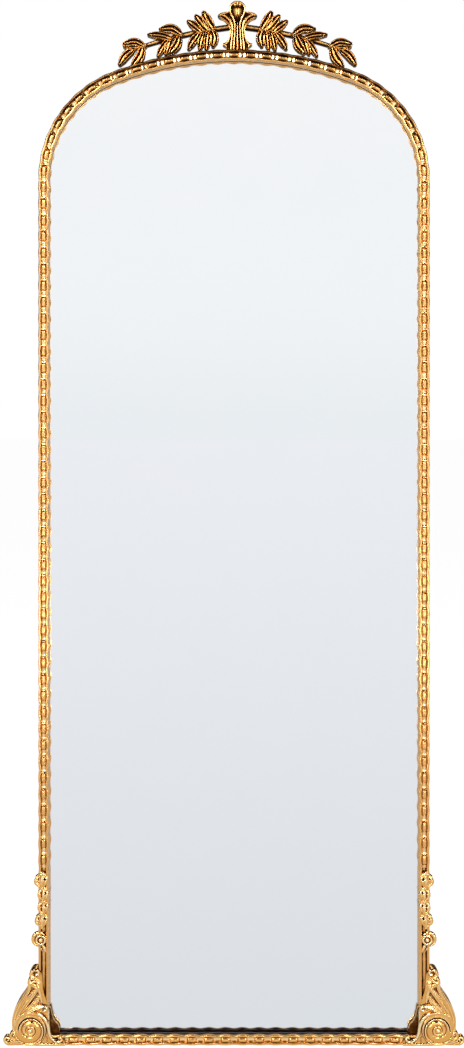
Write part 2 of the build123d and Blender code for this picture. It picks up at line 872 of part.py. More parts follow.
# Leaves of a branch. Outs are measured from the crest's axis and rises from the arch's outer
# edge below: stalk out, stalk rise, tip out, tip rise, width, bend to the left as it grows.
leaves = (
    (42.0, 39.5, 60.5, 70.0, 15.0, -1.5),
    (52.0, 36.2, 74.0, 65.1, 14.0, 0.0),
    (64.0, 33.4, 88.5, 57.0, 12.0, 1.0),
    (45.0, 37.7, 43.5, 6.1, 13.0, -3.0),
    (51.0, 36.2, 54.5, -1.5, 11.0, 0.0),
    (59.0, 34.9, 67.0, -1.8, 11.0, 0.5),
    (67.0, 33.7, 87.5, 6.4, 12.0, 1.0),
    (99.0, 34.2, 135.5, 50.9, 15.0, 5.0),
    (116.0, 30.3, 156.0, 46.5, 13.0, 2.0),
    (101.0, 33.5, 117.5, 3.6, 15.0, -3.0),
    (119.0, 29.9, 126.5, 3.9, 12.0, 0.0),
    (122.0, 30.5, 140.5, -0.4, 12.0, 0.0),
    (163.0, 28.4, 199.5, 43.4, 11.0, 6.5),
    (174.0, 29.6, 199.5, 38.9, 7.0, -1.0),
    (181.0, 29.3, 207.5, 9.8, 15.0, 3.0),
    (165.0, 28.5, 184.5, -4.6, 17.0, -3.0),
)
stem_route = ((10.0, 41.6), (92.0, 34.1), (184.0, 29.3))


def crest_point(out, rise):
    """Point of the crest, from its rise above the arch's outer edge to the crest plane's height."""
    return Vector(out, rise - arch_drop(out))


def leaf_outline(leaf, depth):
    """Pointed leaf between its stalk and its tip, made of two arcs."""
    stalk = crest_point(leaf[0], leaf[1])
    tip = crest_point(leaf[2], leaf[3])
    width, bend = leaf[4], leaf[5]
    middle = (stalk + tip) / 2
    leftward = (tip - stalk).normalized().rotate(Axis.Z, 90)
    with BuildSketch(crest_plane(depth)) as outline:
        with BuildLine():
            ThreePointArc(stalk, middle + leftward * (bend + width / 2), tip)
            ThreePointArc(tip, middle + leftward * (bend - width / 2), stalk)
        make_face()
    return outline.sketch


def branch_casting(side):
    """Laurel branch: one stem and its leaves, resting on the arch."""
    with BuildPart() as casting:
        with BuildLine(crest_plane(branch_back_depth / 2)) as stem_path:
            ThreePointArc(*[crest_point(out, rise).to_tuple() for out, rise in stem_route])
        with BuildSketch(Plane(origin=stem_path.line @ 0, z_dir=stem_path.line % 0)) as stem_section:
            Circle(stem_radius)
        sweep(stem_section.sketch, path=stem_path.line)
        for leaf in leaves:
            extrude(leaf_outline(leaf, branch_back_depth), amount=branch_back_depth - leaf_front_depth)
        if side < 0:
            mirror(about=Plane.YZ.offset(crest_shift), mode=Mode.REPLACE)
        add(envelope, mode=Mode.SUBTRACT)
        add(plain_palmette, mode=Mode.SUBTRACT)
        add(branch_pins(side), mode=Mode.SUBTRACT)
    return casting.part


plain_palmette = palmette_casting()

with BuildPart() as crest_palmette:
    add(plain_palmette)
    add(palmette_pins(), mode=Mode.SUBTRACT)
crest_palmette.part.label = "crest_palmette"
export_step(crest_palmette.part, "parts/crest_palmette.step")

for side_name, side in sides:
    with BuildPart() as laurel_branch:
        add(branch_casting(side))
    laurel_branch.part.label = f"{side_name}_laurel_branch"
    export_step(laurel_branch.part, f"parts/{side_name}_laurel_branch.step")

with BuildPart() as crest_pins:
    add(palmette_pins())
    for _, side in sides:
        add(branch_pins(side))
crest_pins.part.label = "crest_pins"
export_step(crest_pins.part, "parts/crest_pins.step")
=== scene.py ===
"""Arched overmantel mirror in a gilded frame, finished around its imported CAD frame.

Sizes in the settings are in metres, as Blender keeps them. The mesh code works in
millimetres, in the frame's own axes: X to the right, Y back to the wall, Z up.
"""
import math

import bmesh
import bpy
import numpy as np
from bpy.props import FloatProperty, IntProperty, PointerProperty, StringProperty
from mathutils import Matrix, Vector


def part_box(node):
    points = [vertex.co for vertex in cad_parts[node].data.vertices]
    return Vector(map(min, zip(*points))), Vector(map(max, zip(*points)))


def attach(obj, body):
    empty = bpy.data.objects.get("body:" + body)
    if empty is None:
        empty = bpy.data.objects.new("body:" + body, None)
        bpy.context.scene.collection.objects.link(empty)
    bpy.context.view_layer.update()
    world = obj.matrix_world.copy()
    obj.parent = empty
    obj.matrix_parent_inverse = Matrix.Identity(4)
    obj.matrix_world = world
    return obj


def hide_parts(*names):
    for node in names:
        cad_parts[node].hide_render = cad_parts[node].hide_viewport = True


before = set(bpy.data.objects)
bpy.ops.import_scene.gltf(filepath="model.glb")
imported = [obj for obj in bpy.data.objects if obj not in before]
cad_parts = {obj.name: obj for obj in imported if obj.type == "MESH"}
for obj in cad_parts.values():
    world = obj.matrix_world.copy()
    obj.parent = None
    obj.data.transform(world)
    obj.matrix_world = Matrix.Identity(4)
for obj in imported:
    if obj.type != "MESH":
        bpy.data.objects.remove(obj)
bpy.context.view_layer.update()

bl_info = {
    "name": "Gilded Overmantel Mirror",
    "version": (1, 0, 0),
    "blender": (4, 5, 0),
    "location": "View3D > Sidebar > Mirror",
    "description": "Builds the looks of an arched mirror with a gilded, beaded frame",
    "category": "Object",
}

MM = 0.001


def node_box(name):
    """Lowest and highest corners of a CAD node, in millimetres."""
    low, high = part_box(name)
    return [value / MM for value in low], [value / MM for value in high]


# Places read from the frame
arch_low, arch_high = node_box("arch_moulding")
half_width = arch_high[0]
crown_height = arch_high[2]
spring_height = arch_low[2]
frame_base = node_box("right_stile_moulding")[0][2]
lip_y = arch_low[1]
moulding_depth = arch_high[1] - arch_low[1]
beading_foot = node_box("right_stile_beading")[0][2]
rail_beading_end = node_box("bottom_rail_beading")[1][0]
palmette_low, palmette_high = node_box("crest_palmette")
crest_x = (palmette_low[0] + palmette_high[0]) / 2
SIDES = (("right", 1), ("left", -1))


# Settings that a user would change

def length(name, default, description):
    """A length, in metres."""
    return FloatProperty(name=name, description=description, default=default, unit="LENGTH")


def amount(name, default, description):
    """A plain number."""
    return FloatProperty(name=name, description=description, default=default)


def pieces(name, default, description):
    """A number of like pieces."""
    return IntProperty(name=name, description=description, default=default)


def colour(name, default, description):
    """A colour, as an sRGB hex value."""
    return StringProperty(name=name, description=description, default=default)


class GiltMouldingSettings(bpy.types.PropertyGroup):
    """Sizes of the gilded moulding and of the beading in its channel."""
    moulding_width: length("Moulding width", 0.018, "Width of the moulding seen from the front")
    shoulder_radius: length("Shoulder radius", 0.2014, "Outer radius of the arch's two shoulders")
    lip_width: length("Lip width", 0.0048, "Width of each rounded lip of the moulding")
    scallop: length("Scallop", 0.0009, "How far the sight edge swells beside each bead")
    bead_length: length("Bead length", 0.0162, "Length of one barrel bead")
    bead_radius: length("Bead radius", 0.0044, "Radius of one barrel bead at its middle")
    arch_beads: pieces("Beads on the arch", 31, "Number of beads round the arch")
    stile_beads: pieces("Beads on a stile", 42, "Number of beads up one stile")
    rail_beads: pieces("Beads on the rail", 20, "Number of beads along the bottom rail")
    unevenness: amount("Unevenness", 0.35, "How unevenly the beads were cast, from 0 to 1")


class CastingSettings(bpy.types.PropertyGroup):
    """Sizes shared by the castings of the crest and of the feet."""
    grain: length("Mesh grain", 0.0005, "Spacing of the points that a casting is modelled with")
    softness: length("Softness", 0.00035, "How far gesso and gilding round the cast detail")
    crest_back: length("Crest back", 0.013, "Depth of the crest's back behind the lips")


class FinishSettings(bpy.types.PropertyGroup):
    """Colours of the finishes."""
    gold: colour("Gold", "E4AE62", "Burnished gilding of the castings")
    worn_gold: colour("Worn gold", "F6DFB0", "Paler gold where the high points are rubbed")
    pale_gold: colour("Pale gold", "E0AE6C", "Gilding on the moulding and its beads")
    patina: colour("Patina", "4E2A0C", "Brown toning left in the recesses")
    deep_patina: colour("Deep patina", "1E0C03", "Darkest toning in the deepest hollows")
    board: colour("Board", "6E5138", "Fibreboard of the back panel")
    felt: colour("Felt", "4A3A2C", "Felt of the foot pads")


class StudioSettings(bpy.types.PropertyGroup):
    """The camera and the light around the mirror."""
    camera_distance: length("Camera distance", 2.33, "Distance from the lens to the moulding's lips")
    camera_height: length("Camera height", 1.103, "Height of the lens above the floor")
    lens: amount("Lens", 45.75, "Focal length on a 36 mm long side")
    shift_x: amount("Sideways shift", -0.0019, "Shift of the picture to the side")
    shift_y: amount("Upward shift", -0.103, "Shift of the picture upwards")
    # The near and far reflections are painted into the floor's glow, which only the glass shows.
    near_glass: colour("Near reflection", "DDE1E4", "What the foot of the mirror reflects")
    far_glass: colour("Far reflection", "EFF1F4", "What the mirror reflects of the floor far off")
    level_glass: colour("Level reflection", "E4E8EA", "What it reflects just above the floor's end")
    high_glass: colour("High reflection", "FCFDFD", "What the top of the mirror reflects")
    front_card: amount("Front card", 2.4, "Brightness of the white card the gold faces")
    side_cards: colour("Side cards", "2C241B", "What the gold reflects from the sides")
    dark_ceiling: colour("Dark ceiling", "120D09", "What the gold reflects from above")


def settings():
    """The four groups of settings, on the scene."""
    scene = bpy.context.scene
    return scene.gilt_moulding, scene.castings, scene.finishes, scene.studio


def new_object(name, data):
    """Adds an object to the scene."""
    added = bpy.data.objects.new(name, data)
    bpy.context.scene.collection.objects.link(added)
    return added


# Mesh helpers

def new_piece(name, points, faces, wear, material, replaced, smooth_angle=40.0):
    """Makes a piece of the frame body from points in millimetres.

    Wear is how rubbed its gilding is at each point, with painted shade and painted highlights added on
    some pieces, or None for a piece that isn't gilded.
    """
    mesh = bpy.data.meshes.new(name)
    mesh.from_pydata((np.asarray(points) * MM).tolist(), [], faces)
    mesh.validate()
    face_outwards(mesh)
    if wear is not None:
        mesh.attributes.new("wear", "FLOAT", "POINT").data.foreach_set("value", wear)
    mesh.shade_smooth()
    mesh.set_sharp_from_angle(angle=math.radians(smooth_angle))
    mesh.materials.append(material)
    piece = new_object(name, mesh)
    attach(piece, "frame")
    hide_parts(replaced)
    return piece


def face_outwards(mesh):
    """Turns the faces of a closed mesh outwards."""
    solid = bmesh.new()
    solid.from_mesh(mesh)
    if solid.calc_volume(signed=True) < 0:
        bmesh.ops.reverse_faces(solid, faces=solid.faces)
        solid.to_mesh(mesh)
    solid.free()


def swept_faces(rows, columns):
    """Faces of a closed section swept through rows of points, with both ends capped."""
    index = np.arange(rows * columns).reshape(rows, columns)
    faces = quads(np.hstack([index, index[:, :1]])).reshape(-1, 4).tolist()
    faces.append(list(range(columns - 1, -1, -1)))
    faces.append(list(range((rows - 1) * columns, rows * columns)))
    return faces


def quads(index):
    """Corners of the cell between each four neighbours of a grid."""
    return np.stack([index[:-1, :-1], index[:-1, 1:], index[1:, 1:], index[1:, :-1]], axis=2)


def smooth_line(points, count=40):
    """Even line through a few points, curved as a draughtsman would join them."""
    points = np.asarray(points, dtype=float)
    ends = np.vstack([2 * points[0] - points[1], points, 2 * points[-1] - points[-2]])
    spots = np.linspace(0, len(points) - 1, count)
    first = np.minimum(spots.astype(int), len(points) - 2)
    t = (spots - first)[:, None]
    a, b, c, d = (ends[first + step] for step in range(4))
    return 0.5 * (2 * b + (c - a) * t + (2 * a - 5 * b + 4 * c - d) * t**2
                  + (3 * b - a - 3 * c + d) * t**3)


# Stations along the moulding's outer edge: x, z, outward x, outward z and length at the beads

def arch_stations(step):
    """Stations round the arch, from the right springing over the crown to the left one."""
    moulding = settings()[0]
    radius = moulding.shoulder_radius / MM
    inset = moulding.moulding_width / MM / 2
    rise = crown_height - spring_height
    shoulder_x = half_width - radius
    crown_radius = (shoulder_x**2 + rise**2 - radius**2) / (2 * (rise - radius))
    crown_z = crown_height - crown_radius
    half_crown = math.atan2(shoulder_x, spring_height - crown_z)
    turn = math.pi / 2 - half_crown
    arcs = (
        (shoulder_x, spring_height, radius, 0.0, turn),
        (0.0, crown_z, crown_radius, turn, 2 * half_crown),
        (-shoulder_x, spring_height, radius, math.pi / 2 + half_crown, turn),
    )
    rows = []
    travelled = 0.0
    for number, (centre_x, centre_z, arc_radius, start, sweep) in enumerate(arcs):
        length = sweep * (arc_radius - inset)
        count = round(length / step)
        last = number == len(arcs) - 1
        for index in range(count + 1 if last else count):
            angle = start + sweep * index / count
            across, up = math.cos(angle), math.sin(angle)
            rows.append((centre_x + arc_radius * across, centre_z + arc_radius * up,
                         across, up, travelled + length * index / count))
        travelled += length
    return np.array(rows), travelled


def straight_stations(start, end, outward, step):
    """Stations along a stile or the rail."""
    start, end = np.array(start, dtype=float), np.array(end, dtype=float)
    length = np.linalg.norm(end - start)
    spots = np.linspace(0, 1, round(length / step) + 1)[:, None]
    places = start + (end - start) * spots
    outwards = np.tile(outward, (len(spots), 1))
    return np.hstack([places, outwards, spots * length]), length


def stile_stations(side, foot, step):
    """Stations of a stile: up the right one and down the left one, as the arch runs."""
    stations, length = straight_stations((side * half_width, foot), (side * half_width, spring_height),
                                         (side, 0), step)
    return stations[::side], length


def rail_stations(reach, step):
    """Stations of the bottom rail, as far as a distance on both sides of its middle."""
    return straight_stations((-reach, frame_base), (reach, frame_base), (0, -1), step)


# Depths of the moulding's section behind its lips, and how far its rebate reaches in
LIP_ROUND = 2.4
CHANNEL_FLOOR = 6.0
REBATE_DEPTH = 13.0
REBATE_WIDTH = 7.0


def lip_points(start, end, angles, wear, level):
    """Round lip of the section between two insets; its crown is the most rubbed."""
    points = []
    for angle in angles:
        turn = math.radians(angle)
        points.append(((start + end) / 2 - (end - start) / 2 * math.cos(turn),
                       LIP_ROUND * (1 - math.sin(turn)) * level, wear + 0.2 * math.sin(turn)))
    return points


def moulding_form(ripple, outer_lip_wear_and_shade, sight_wall_wear_and_shade):
    """Section of the moulding at each station, as inset, depth and wear for each point; the wear holds
    painted shade on the arch's outer lip and the rail's sight wall.

    Ripple is 1 beside a bead and -1 between beads: the lips swell beside the beads.
    """
    moulding = settings()[0]
    width = moulding.moulding_width / MM
    lip = moulding.lip_width / MM
    scallop = moulding.scallop / MM
    outer = -0.45 * ripple
    channel = lip - 0.55 * ripple
    sight = width + scallop * ripple
    level = np.ones_like(ripple)
    outer_wall = [
        (0 * level, moulding_depth * level, 0.30),
        (0 * level, 11.5 * level, 0.35),
        (0.35 * level, 9.6 * level, 0.25),
        (0.35 * level, 8.8 * level, 0.25),
        (0.3 * outer, 7.6 * level, 0.25),
        (outer, 5.0 * level, 0.3),
        (outer, 2.6 * level, 0.35),
    ]
    channel_half = [
        (channel, 3.8 * level, 0.35),
        (channel + 0.2, 5.3 * level, 0.08),
        (channel + 0.9, CHANNEL_FLOOR * level, 0.12),
    ]
    channel_middle = [(width / 2 * level, (CHANNEL_FLOOR + 0.3) * level, 0.5)]
    other_half = [(width - inset, depth, wear) for inset, depth, wear in reversed(channel_half)]
    # The sight wall's gilding level comes per piece; set to 0 it paints the wall dark as shade.
    sight_wall = [
        (sight, 2.8 * level, 0.5),
        (sight, 4.6 * level, 0.9 * sight_wall_wear_and_shade),
        (width + 0.3 * scallop * ripple, 6.4 * level, 0.6 * sight_wall_wear_and_shade),
        (width - 0.5 * level, 7.2 * level, 0.8 * sight_wall_wear_and_shade),
        (width * level, 8.4 * level, sight_wall_wear_and_shade),
        (width * level, (REBATE_DEPTH - 0.6) * level, sight_wall_wear_and_shade),
        ((width - 0.6) * level, REBATE_DEPTH * level, 0.7 * sight_wall_wear_and_shade),
        ((width - REBATE_WIDTH) * level, REBATE_DEPTH * level, 0.1),
        ((width - REBATE_WIDTH) * level, moulding_depth * level, 0.2),
    ]
    points = (outer_wall + lip_points(outer, channel, (20, 50, 80, 110, 140, 168), outer_lip_wear_and_shade, level)
              + channel_half + channel_middle + other_half
              + lip_points(width - channel, sight, (12, 40, 70, 100, 130, 160), 0.38, level)
              + sight_wall)
    insets = np.stack([point[0] for point in points], axis=1)
    depths = np.stack([point[1] for point in points], axis=1)
    wear_and_painted_light = np.stack([point[2] * level for point in points], axis=1)
    return insets, depths, wear_and_painted_light


def placed(stations, insets, depths):
    """Points in the frame for insets and depths at each station."""
    x = stations[:, 0:1] - insets * stations[:, 2:3]
    z = stations[:, 1:2] - insets * stations[:, 3:4]
    return np.stack([x, lip_y + depths, z], axis=2)


def moulding_piece(name, stations, ripple, mitres, material, replaced, outer_lip_wear_and_shade=0.38,
                   sight_wall_wear_and_shade=0.6):
    """One length of moulding; a mitre is (axis, limit, direction) at the start or the end."""
    insets, depths, wear_and_painted_light = moulding_form(ripple, outer_lip_wear_and_shade, sight_wall_wear_and_shade)
    points = placed(stations, insets, depths)
    for row, axis, direction in mitres:
        points[row, :, axis] += direction * insets[row]
    faces = swept_faces(*insets.shape)
    return new_piece(name, points.reshape(-1, 3), faces, wear_and_painted_light.ravel(), material, replaced,
                     50.0)


# How far the silver enters the glass, in millimetres
SILVER_BITE = 0.05


def silver_piece(material):
    """Silver that enters the glass by a hair, so that no ray slips between their touching faces."""
    low, high = node_box("silver_coating")
    inset = half_width - high[0]
    stations, _ = arch_stations(4.0)
    arch = placed(stations, np.full((len(stations), 1), inset), np.zeros((len(stations), 1)))[:, 0]
    corners = np.array([(low[0], lip_y, low[2]), (high[0], lip_y, low[2])])
    outline = np.vstack([arch, corners])
    front, back = outline.copy(), outline.copy()
    front[:, 1] = low[1] - SILVER_BITE
    back[:, 1] = high[1]
    count = len(outline)
    faces = [[k, (k + 1) % count, (k + 1) % count + count, k + count] for k in range(count)]
    faces += [list(range(count - 1, -1, -1)), list(range(count, 2 * count))]
    new_piece("silvered_back", np.vstack([front, back]), faces, None, material, "silver_coating")


def bead_wave(lengths, first, pitch, count):
    """Distance from each station to the middle of its nearest bead, and that bead's number."""
    number = np.clip(np.floor((lengths - first) / pitch), 0, count - 1)
    return lengths - first - (number + 0.5) * pitch, number.astype(int)


# Section of the beading, in millimetres: how deep a saddle and a bead are centred, half the width
# and the rise of a saddle halfway between two beads, and the depth of the bed they lie on
SADDLE_CENTRE = 6.2
BEAD_CENTRE = 4.1
SADDLE_HALF_WIDTH = 3.7
SADDLE_RISE = 1.5
BEADING_BED = 6.8


def facing_up(stations):
    """How far the moulding faces up at each station: 0 on the stiles, 1 over most of the arch; painted
    shade follows it.
    """
    return np.clip(1.8 * stations[:, 3], 0, 1)


def bead_ripple(stations, first, last, count):
    """1 beside each bead, -1 between beads and 0 where there is no beading."""
    pitch = (last - first) / count
    away, _ = bead_wave(stations[:, 4], first, pitch, count)
    beaded = (stations[:, 4] > first - pitch / 4) & (stations[:, 4] < last + pitch / 4)
    return np.cos(2 * math.pi * away / pitch) * beaded


def beading_piece(name, stations, length, count, seed, material, replaced):
    """Strip of barrel beads, with a dished saddle between each two."""
    pitch = length / count
    moulding = settings()[0]
    radius = moulding.bead_radius / MM
    half_length = moulding.bead_length / MM / 2
    middle = moulding.moulding_width / MM / 2
    uneven = moulding.unevenness
    chance = np.random.RandomState(seed)
    slips = chance.uniform(-1, 1, count) * uneven
    swells = 1 + 0.07 * uneven * chance.uniform(-1, 1, count)
    leans = chance.uniform(-1, 1, count) * 0.04 * uneven
    away, number = bead_wave(stations[:, 4], 0.0, pitch, count)
    away = away - slips[number]
    reach = np.abs(away) / half_length
    barrel = np.sqrt(np.clip(1 - reach**7, 0, 1))
    saddle = np.clip((np.abs(away) - half_length) / (pitch / 2 - half_length), 0, 1)
    bead_half = radius * swells[number] * (1 - 0.05 * reach**2)
    saddle_half = SADDLE_HALF_WIDTH + 0.5 * (1 - saddle)
    saddle_rise = SADDLE_RISE + 1.3 * (1 - saddle) ** 2
    half = saddle_half + (bead_half - saddle_half) * barrel
    rise = saddle_rise + (bead_half - saddle_rise) * barrel
    centre = SADDLE_CENTRE + (BEAD_CENTRE - SADDLE_CENTRE) * barrel
    angles = np.radians(np.linspace(-112, 112, 19))
    insets = middle + half[:, None] * np.sin(angles) + (leans[number] * away)[:, None]
    front = np.cos(angles)[None, :]
    on_bead = barrel[:, None]
    depths = centre[:, None] - rise[:, None] * np.sign(front) * np.abs(front) ** (0.3 + 0.7 * on_bead)
    depths += 0.45 * (1 - on_bead) * np.clip(front, 0, 1) ** 2
    depths = np.minimum(depths, BEADING_BED)
    # Bead crowns are rubbed pale; painted shade darkens the arch's upward-facing beads, and painted
    # highlights make the saddles' fronts pale
    wear_and_painted_light = 0.12 - 0.2 * on_bead * facing_up(stations)[:, None] + 0.4 * on_bead * front
    wear_and_painted_light = np.clip(wear_and_painted_light + 0.85 * (1 - on_bead) * front, -0.2, 1)
    points = placed(stations, insets, depths)
    faces = swept_faces(*insets.shape)
    return new_piece(name, points.reshape(-1, 3), faces, wear_and_painted_light.ravel(), material, replaced,
                     60.0)


# Turned and moulded fittings of the back

# Profiles of the heads, as radius and distance below the top, in millimetres
SCREW_HEAD = ((3.2, 1.8), (3.2, 1.35), (3.0, 0.85), (2.5, 0.42), (1.9, 0.17), (1.4, 0.07),
              (0.95, 0.03), (0.6, 0.01), (0.3, 0.0))
BUMPER = ((8.0, 8.0), (8.0, 7.2), (7.75, 5.4), (7.2, 2.4), (6.9, 1.0), (6.5, 0.35), (5.9, 0.0),
          (4.6, 0.0), (4.1, 0.35), (3.4, 0.9), (2.4, 1.15), (1.2, 1.25))


SCREW_SHANK_RADIUS = 1.75
SCREW_TAPER = 2.0
# Cross recess in a screw's head: half its width, its reach and its depth
CROSS_HALF_WIDTH = 0.5
CROSS_REACH = 2.0
CROSS_DEPTH = 0.7


def node_spots(node, reach=12.0):
    """Lowest and highest corners of each separate solid of a CAD node, in millimetres."""
    spots = []
    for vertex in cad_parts[node].data.vertices:
        point = np.array(vertex.co) / MM
        for spot in spots:
            middle = (spot[0] + spot[1]) / 2
            if math.hypot(point[0] - middle[0], point[2] - middle[2]) < reach:
                spot[0] = np.minimum(spot[0], point)
                spot[1] = np.maximum(spot[1], point)
                break
        else:
            spots.append([point, point])
    return spots


def turned_group(name, node, head, screw, material, segments=48):
    """Replaces each solid of a node by a turned one; a screw has a shank and a cross recess."""
    points, faces = [], []
    angles = 2 * math.pi * np.arange(segments) / segments
    for low, high in node_spots(node):
        profile = [(radius, high[1] - below) for radius, below in head]
        if screw:
            profile = [(0.3 * SCREW_SHANK_RADIUS, low[1]), (SCREW_SHANK_RADIUS, low[1] + SCREW_TAPER),
                       (SCREW_SHANK_RADIUS, profile[0][1])] + profile
        first = len(points) * segments
        for radius, y in profile:
            across, up = radius * np.cos(angles), radius * np.sin(angles)
            recessed = screw and radius < CROSS_REACH and y > high[1] - 0.3
            in_cross = np.minimum(np.abs(across), np.abs(up)) < CROSS_HALF_WIDTH
            sunk = CROSS_DEPTH * in_cross * recessed
            points.append(np.stack([(low[0] + high[0]) / 2 + across, y - sunk,
                                    (low[2] + high[2]) / 2 + up], axis=1))
        for face in swept_faces(len(profile), segments):
            faces.append([first + corner for corner in face])
    return new_piece(name, np.vstack(points), faces, None, material, node, 45.0)


# Castings, modelled as reliefs

# How far round itself a point is compared to tell whether it stands out, in millimetres
NEAR_REACH = 1.3
FAR_REACH = 3.5
# Heights between which a casting's deep ground, darkened as brown toning and painted shade, gives way to
# gilding
DARK_GROUND = -5.6
GILDED_GROUND = -3.2

class Relief:
    """Front of a casting on a fine grid of points: inside its outline, and how high it stands.

    Heights are millimetres in front of the lips. The outline is where inside turns positive.
    """

    def __init__(self, low, high, grain, ground=-6.0):
        columns = int(round((high[0] - low[0]) / grain)) + 1
        rows = int(round((high[1] - low[1]) / grain)) + 1
        across = low[0] + grain * np.arange(columns)
        up = low[1] + grain * np.arange(rows)
        self.grain = grain
        self.across, self.up = np.meshgrid(across, up)
        self.inside = np.full(self.across.shape, -50.0)
        self.height = np.full(self.across.shape, ground)
        self.ground = ground

    def window(self, line, margin):
        """Part of the grid round a line."""
        low, high = line.min(axis=0) - margin, line.max(axis=0) + margin
        first = np.array([low[1] - self.up[0, 0], low[0] - self.across[0, 0]]) / self.grain
        last = np.array([high[1] - self.up[0, 0], high[0] - self.across[0, 0]]) / self.grain
        first = np.maximum(first.astype(int), 0)
        last = np.maximum(last.astype(int) + 2, 0)
        return np.s_[first[0]:last[0], first[1]:last[1]]

    def lay(self, part, inside, height, carve=False, outline=True):
        """Adds a form to part of the grid; a carved form cuts down instead of standing up.

        Only a form that belongs to the outline widens the casting.
        """
        widens = outline and not carve
        covers = inside > (-1.5 * self.grain if widens else 0)
        here = self.height[part]
        chosen = height < here if carve else height > here
        self.height[part] = np.where(covers & chosen, height, here)
        if widens:
            self.inside[part] = np.maximum(self.inside[part], inside)

    def stroke(self, points, widths, base, crown=1.5, rim=0.0, rib=0.0, hollow=0.0, carve=False,
               count=36, outline=True):
        """Form along a curve. Widths are full widths and bases heights, spread along it."""
        line = smooth_line(points, count)
        half = np.asarray(widths, dtype=float) / 2
        base = np.atleast_1d(np.asarray(base, dtype=float))
        part = self.window(line, half.max() + 2)
        across, up = self.across[part], self.up[part]
        if across.size == 0:
            return
        nearest, along = distance_to(line, across, up)
        reach = np.interp(along, np.linspace(0, 1, len(half)), half)
        level = np.interp(along, np.linspace(0, 1, len(base)), base)
        q = np.clip(nearest / np.maximum(reach, 0.05), 0, 1)
        dome = crown * np.sqrt(1 - q**2)
        height = level + (-dome if carve else dome)
        height = height + rim * np.exp(-((q - 0.8) / 0.13) ** 2) + rib * np.exp(-(q / 0.17) ** 2)
        height = height - hollow * np.exp(-((q - 0.42) / 0.2) ** 2)
        self.lay(part, reach - nearest, height, carve, outline)

    def dome(self, centre, sizes, base, crown, carve=False):
        """Oval boss or hollow."""
        line = np.array([centre, centre], dtype=float)
        part = self.window(line, max(sizes) / 2 + 2)
        q = np.hypot((self.across[part] - centre[0]) / (sizes[0] / 2),
                     (self.up[part] - centre[1]) / (sizes[1] / 2))
        inside = (1 - q) * min(sizes) / 2
        rise = crown * np.sqrt(np.clip(1 - q**2, 0, 1))
        self.lay(part, inside, base - rise if carve else base + rise, carve)

    def plate(self, points, base, rounding=1.5):
        """Flat region with rounded edges."""
        line = np.vstack([points, points[:1]])
        part = self.window(line, 3)
        across, up = self.across[part], self.up[part]
        nearest, _ = distance_to(line, across, up)
        inside = np.where(within(line, across, up), nearest, -nearest)
        edge = 1 - np.clip(inside / rounding, 0, 1)
        self.lay(part, inside, base - rounding * (1 - np.sqrt(1 - edge**2)))

    def spread(self, values, radius):
        """Values averaged over a radius, without what lies outside the outline."""
        weight = (self.inside > -1.5 * self.grain).astype(float)
        reach = max(int(round(2.2 * radius / self.grain)), 1)
        kernel = np.exp(-(np.arange(-reach, reach + 1) * self.grain / radius) ** 2 / 2)
        total, share = values * weight, weight
        for axis in (0, 1):
            total, share = (self.smear(field, kernel, reach, axis) for field in (total, share))
        return np.where(share > 1e-6, total / np.maximum(share, 1e-6), values)

    @staticmethod
    def smear(field, kernel, reach, axis):
        """One pass of a running average along an axis."""
        pads = [(reach, reach) if number == axis else (0, 0) for number in (0, 1)]
        padded = np.pad(field, pads)
        size = field.shape[axis]
        result = np.zeros_like(field)
        for offset, share in enumerate(kernel):
            part = padded[offset:offset + size] if axis == 0 else padded[:, offset:offset + size]
            result += share * part
        return result

    def wear(self):
        """How rubbed each point is: 1 on the high points, 0 in the hollows."""
        near = self.height - self.spread(self.height, NEAR_REACH)
        far = self.height - self.spread(self.height, FAR_REACH)
        return np.clip(0.5 + 0.45 * near + 0.16 * far, 0, 1)


def distance_to(line, across, up):
    """Distance from each point to a line, and how far along it the nearest spot lies."""
    steps = np.diff(line, axis=0)
    lengths = np.hypot(steps[:, 0], steps[:, 1])
    total = max(lengths.sum(), 1e-6)
    travelled = np.concatenate([[0], np.cumsum(lengths)])
    best = np.full(across.shape, np.inf)
    along = np.zeros(across.shape)
    for (x, y), (dx, dy), length, gone in zip(line[:-1], steps, lengths, travelled):
        t = ((across - x) * dx + (up - y) * dy) / max(length**2, 1e-12)
        t = np.clip(t, 0, 1)
        away = (across - x - t * dx) ** 2 + (up - y - t * dy) ** 2
        closer = away < best
        best = np.where(closer, away, best)
        along = np.where(closer, (gone + t * length) / total, along)
    return np.sqrt(best), along


def within(line, across, up):
    """Whether each point lies within a closed line."""
    found = np.zeros(across.shape, dtype=bool)
    for (x0, y0), (x1, y1) in zip(line[:-1], line[1:]):
        if y0 == y1:
            continue
        crosses = (up > y0) != (up > y1)
        found ^= crosses & (across < x0 + (up - y0) * (x1 - x0) / (y1 - y0))
    return found


